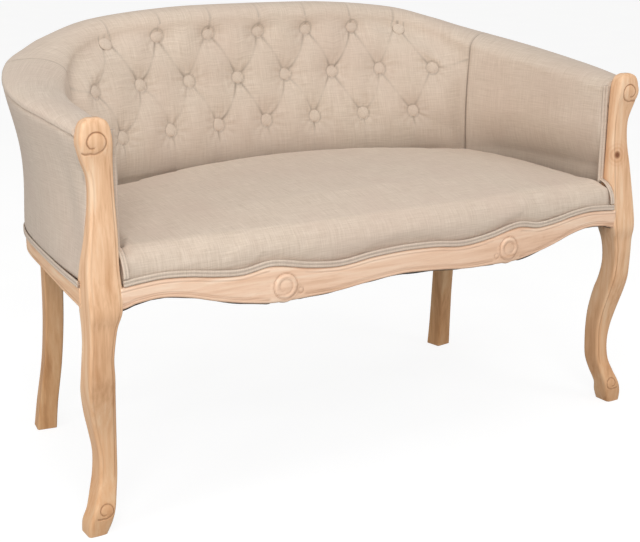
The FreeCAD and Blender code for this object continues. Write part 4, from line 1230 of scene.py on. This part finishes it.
front_rail_welt()
outside_welt("outside_back_cord", REAR_PLACE, LAST_PLACE, "outside_back_welt")
for side in (1, -1):
    outside_welt(sided("outside_arm_cord_", side), 0.0, ARM_COVER_END,
                 sided("outside_arm_welt_", side), side)
    post_welt(side)
    corner_welt(side)


# Stage, camera and light

PHOTO_WIDTH = 640
FOCAL_PIXELS = 1244.8155
SENSOR_WIDTH = 36


def stage():
    """Floor that keeps the shadow and reads as near white."""
    bpy.ops.mesh.primitive_plane_add(size=30, location=(0, 0, 0))
    floor = bpy.context.active_object
    floor.name = "floor"
    s = Shader(bpy.data.materials.new("floor_white"))
    colour = s.ramp(s.grain("Object", (3, 3, 3), 2.0, 0.5),
                    [(0.3, (0.24, 0.24, 0.24)), (0.7, (0.26, 0.26, 0.26))])
    diffuse = s.node("BsdfDiffuse", {"Color": colour})
    rays = s.node("LightPath").outputs
    seen = s.math("MAXIMUM", rays["Is Camera Ray"],
                  s.math("MAXIMUM", rays["Is Glossy Ray"], rays["Is Transmission Ray"]))
    glow = s.node("Emission", {"Color": (1, 1, 1, 1), "Strength": s.times(seen, 0.84)})
    both = s.node("AddShader", {0: diffuse.outputs[0], 1: glow.outputs[0]})
    s.node("OutputMaterial", {"Surface": both.outputs[0]})
    floor.data.materials.append(s.owner)


def world_light(strength):
    """Even light on the object, and plain white behind it for the camera."""
    s = Shader(bpy.data.worlds.new("studio"))
    even, white = [s.node("Background", {"Color": colour, "Strength": level}).outputs[0]
                   for colour, level in (((1.0, 0.99, 0.98, 1), strength), ((1, 1, 1, 1), 1.0))]
    seen = s.node("LightPath").outputs["Is Camera Ray"]
    choose = s.node("MixShader", {0: seen, 1: even, 2: white})
    s.node("OutputWorld", {"Surface": choose.outputs[0]})
    bpy.context.scene.world = s.owner


def lamp(name, place, aim, size, power):
    data = bpy.data.lights.new(name, "AREA")
    data.shape = "SQUARE"
    data.size = size
    data.energy = power
    obj = add_object(name, data)
    obj.location = place
    direction = Vector(aim) - Vector(place)
    obj.rotation_euler = direction.to_track_quat("-Z", "Y").to_euler()


def camera():
    """Camera fitted to the photo."""
    data = bpy.data.cameras.new("camera")
    data.sensor_width = SENSOR_WIDTH
    data.lens = SENSOR_WIDTH * FOCAL_PIXELS / PHOTO_WIDTH
    obj = add_object("camera", data)
    obj.location = (-1.23293, -2.01178, 0.96205)
    obj.rotation_euler = (radians(90 - 15.54422), 0, radians(-31.63753))
    bpy.context.scene.camera = obj


stage()
world_light(0.40)
lamp("key", (-1.7, -3.0, 2.1), (0, 0, 0.45), 2.0, 66)
lamp("fill", (1.9, -2.9, 1.0), (0.35, -0.1, 0.35), 1.4, 21)
lamp("side", (-3.0, -0.9, 0.75), (0, -0.1, 0.45), 1.0, 24)
lamp("top", (0, -0.3, 3.2), (0, 0, 0.5), 2.2, 19)
camera()
bpy.context.scene.view_settings.view_transform = "Standard"
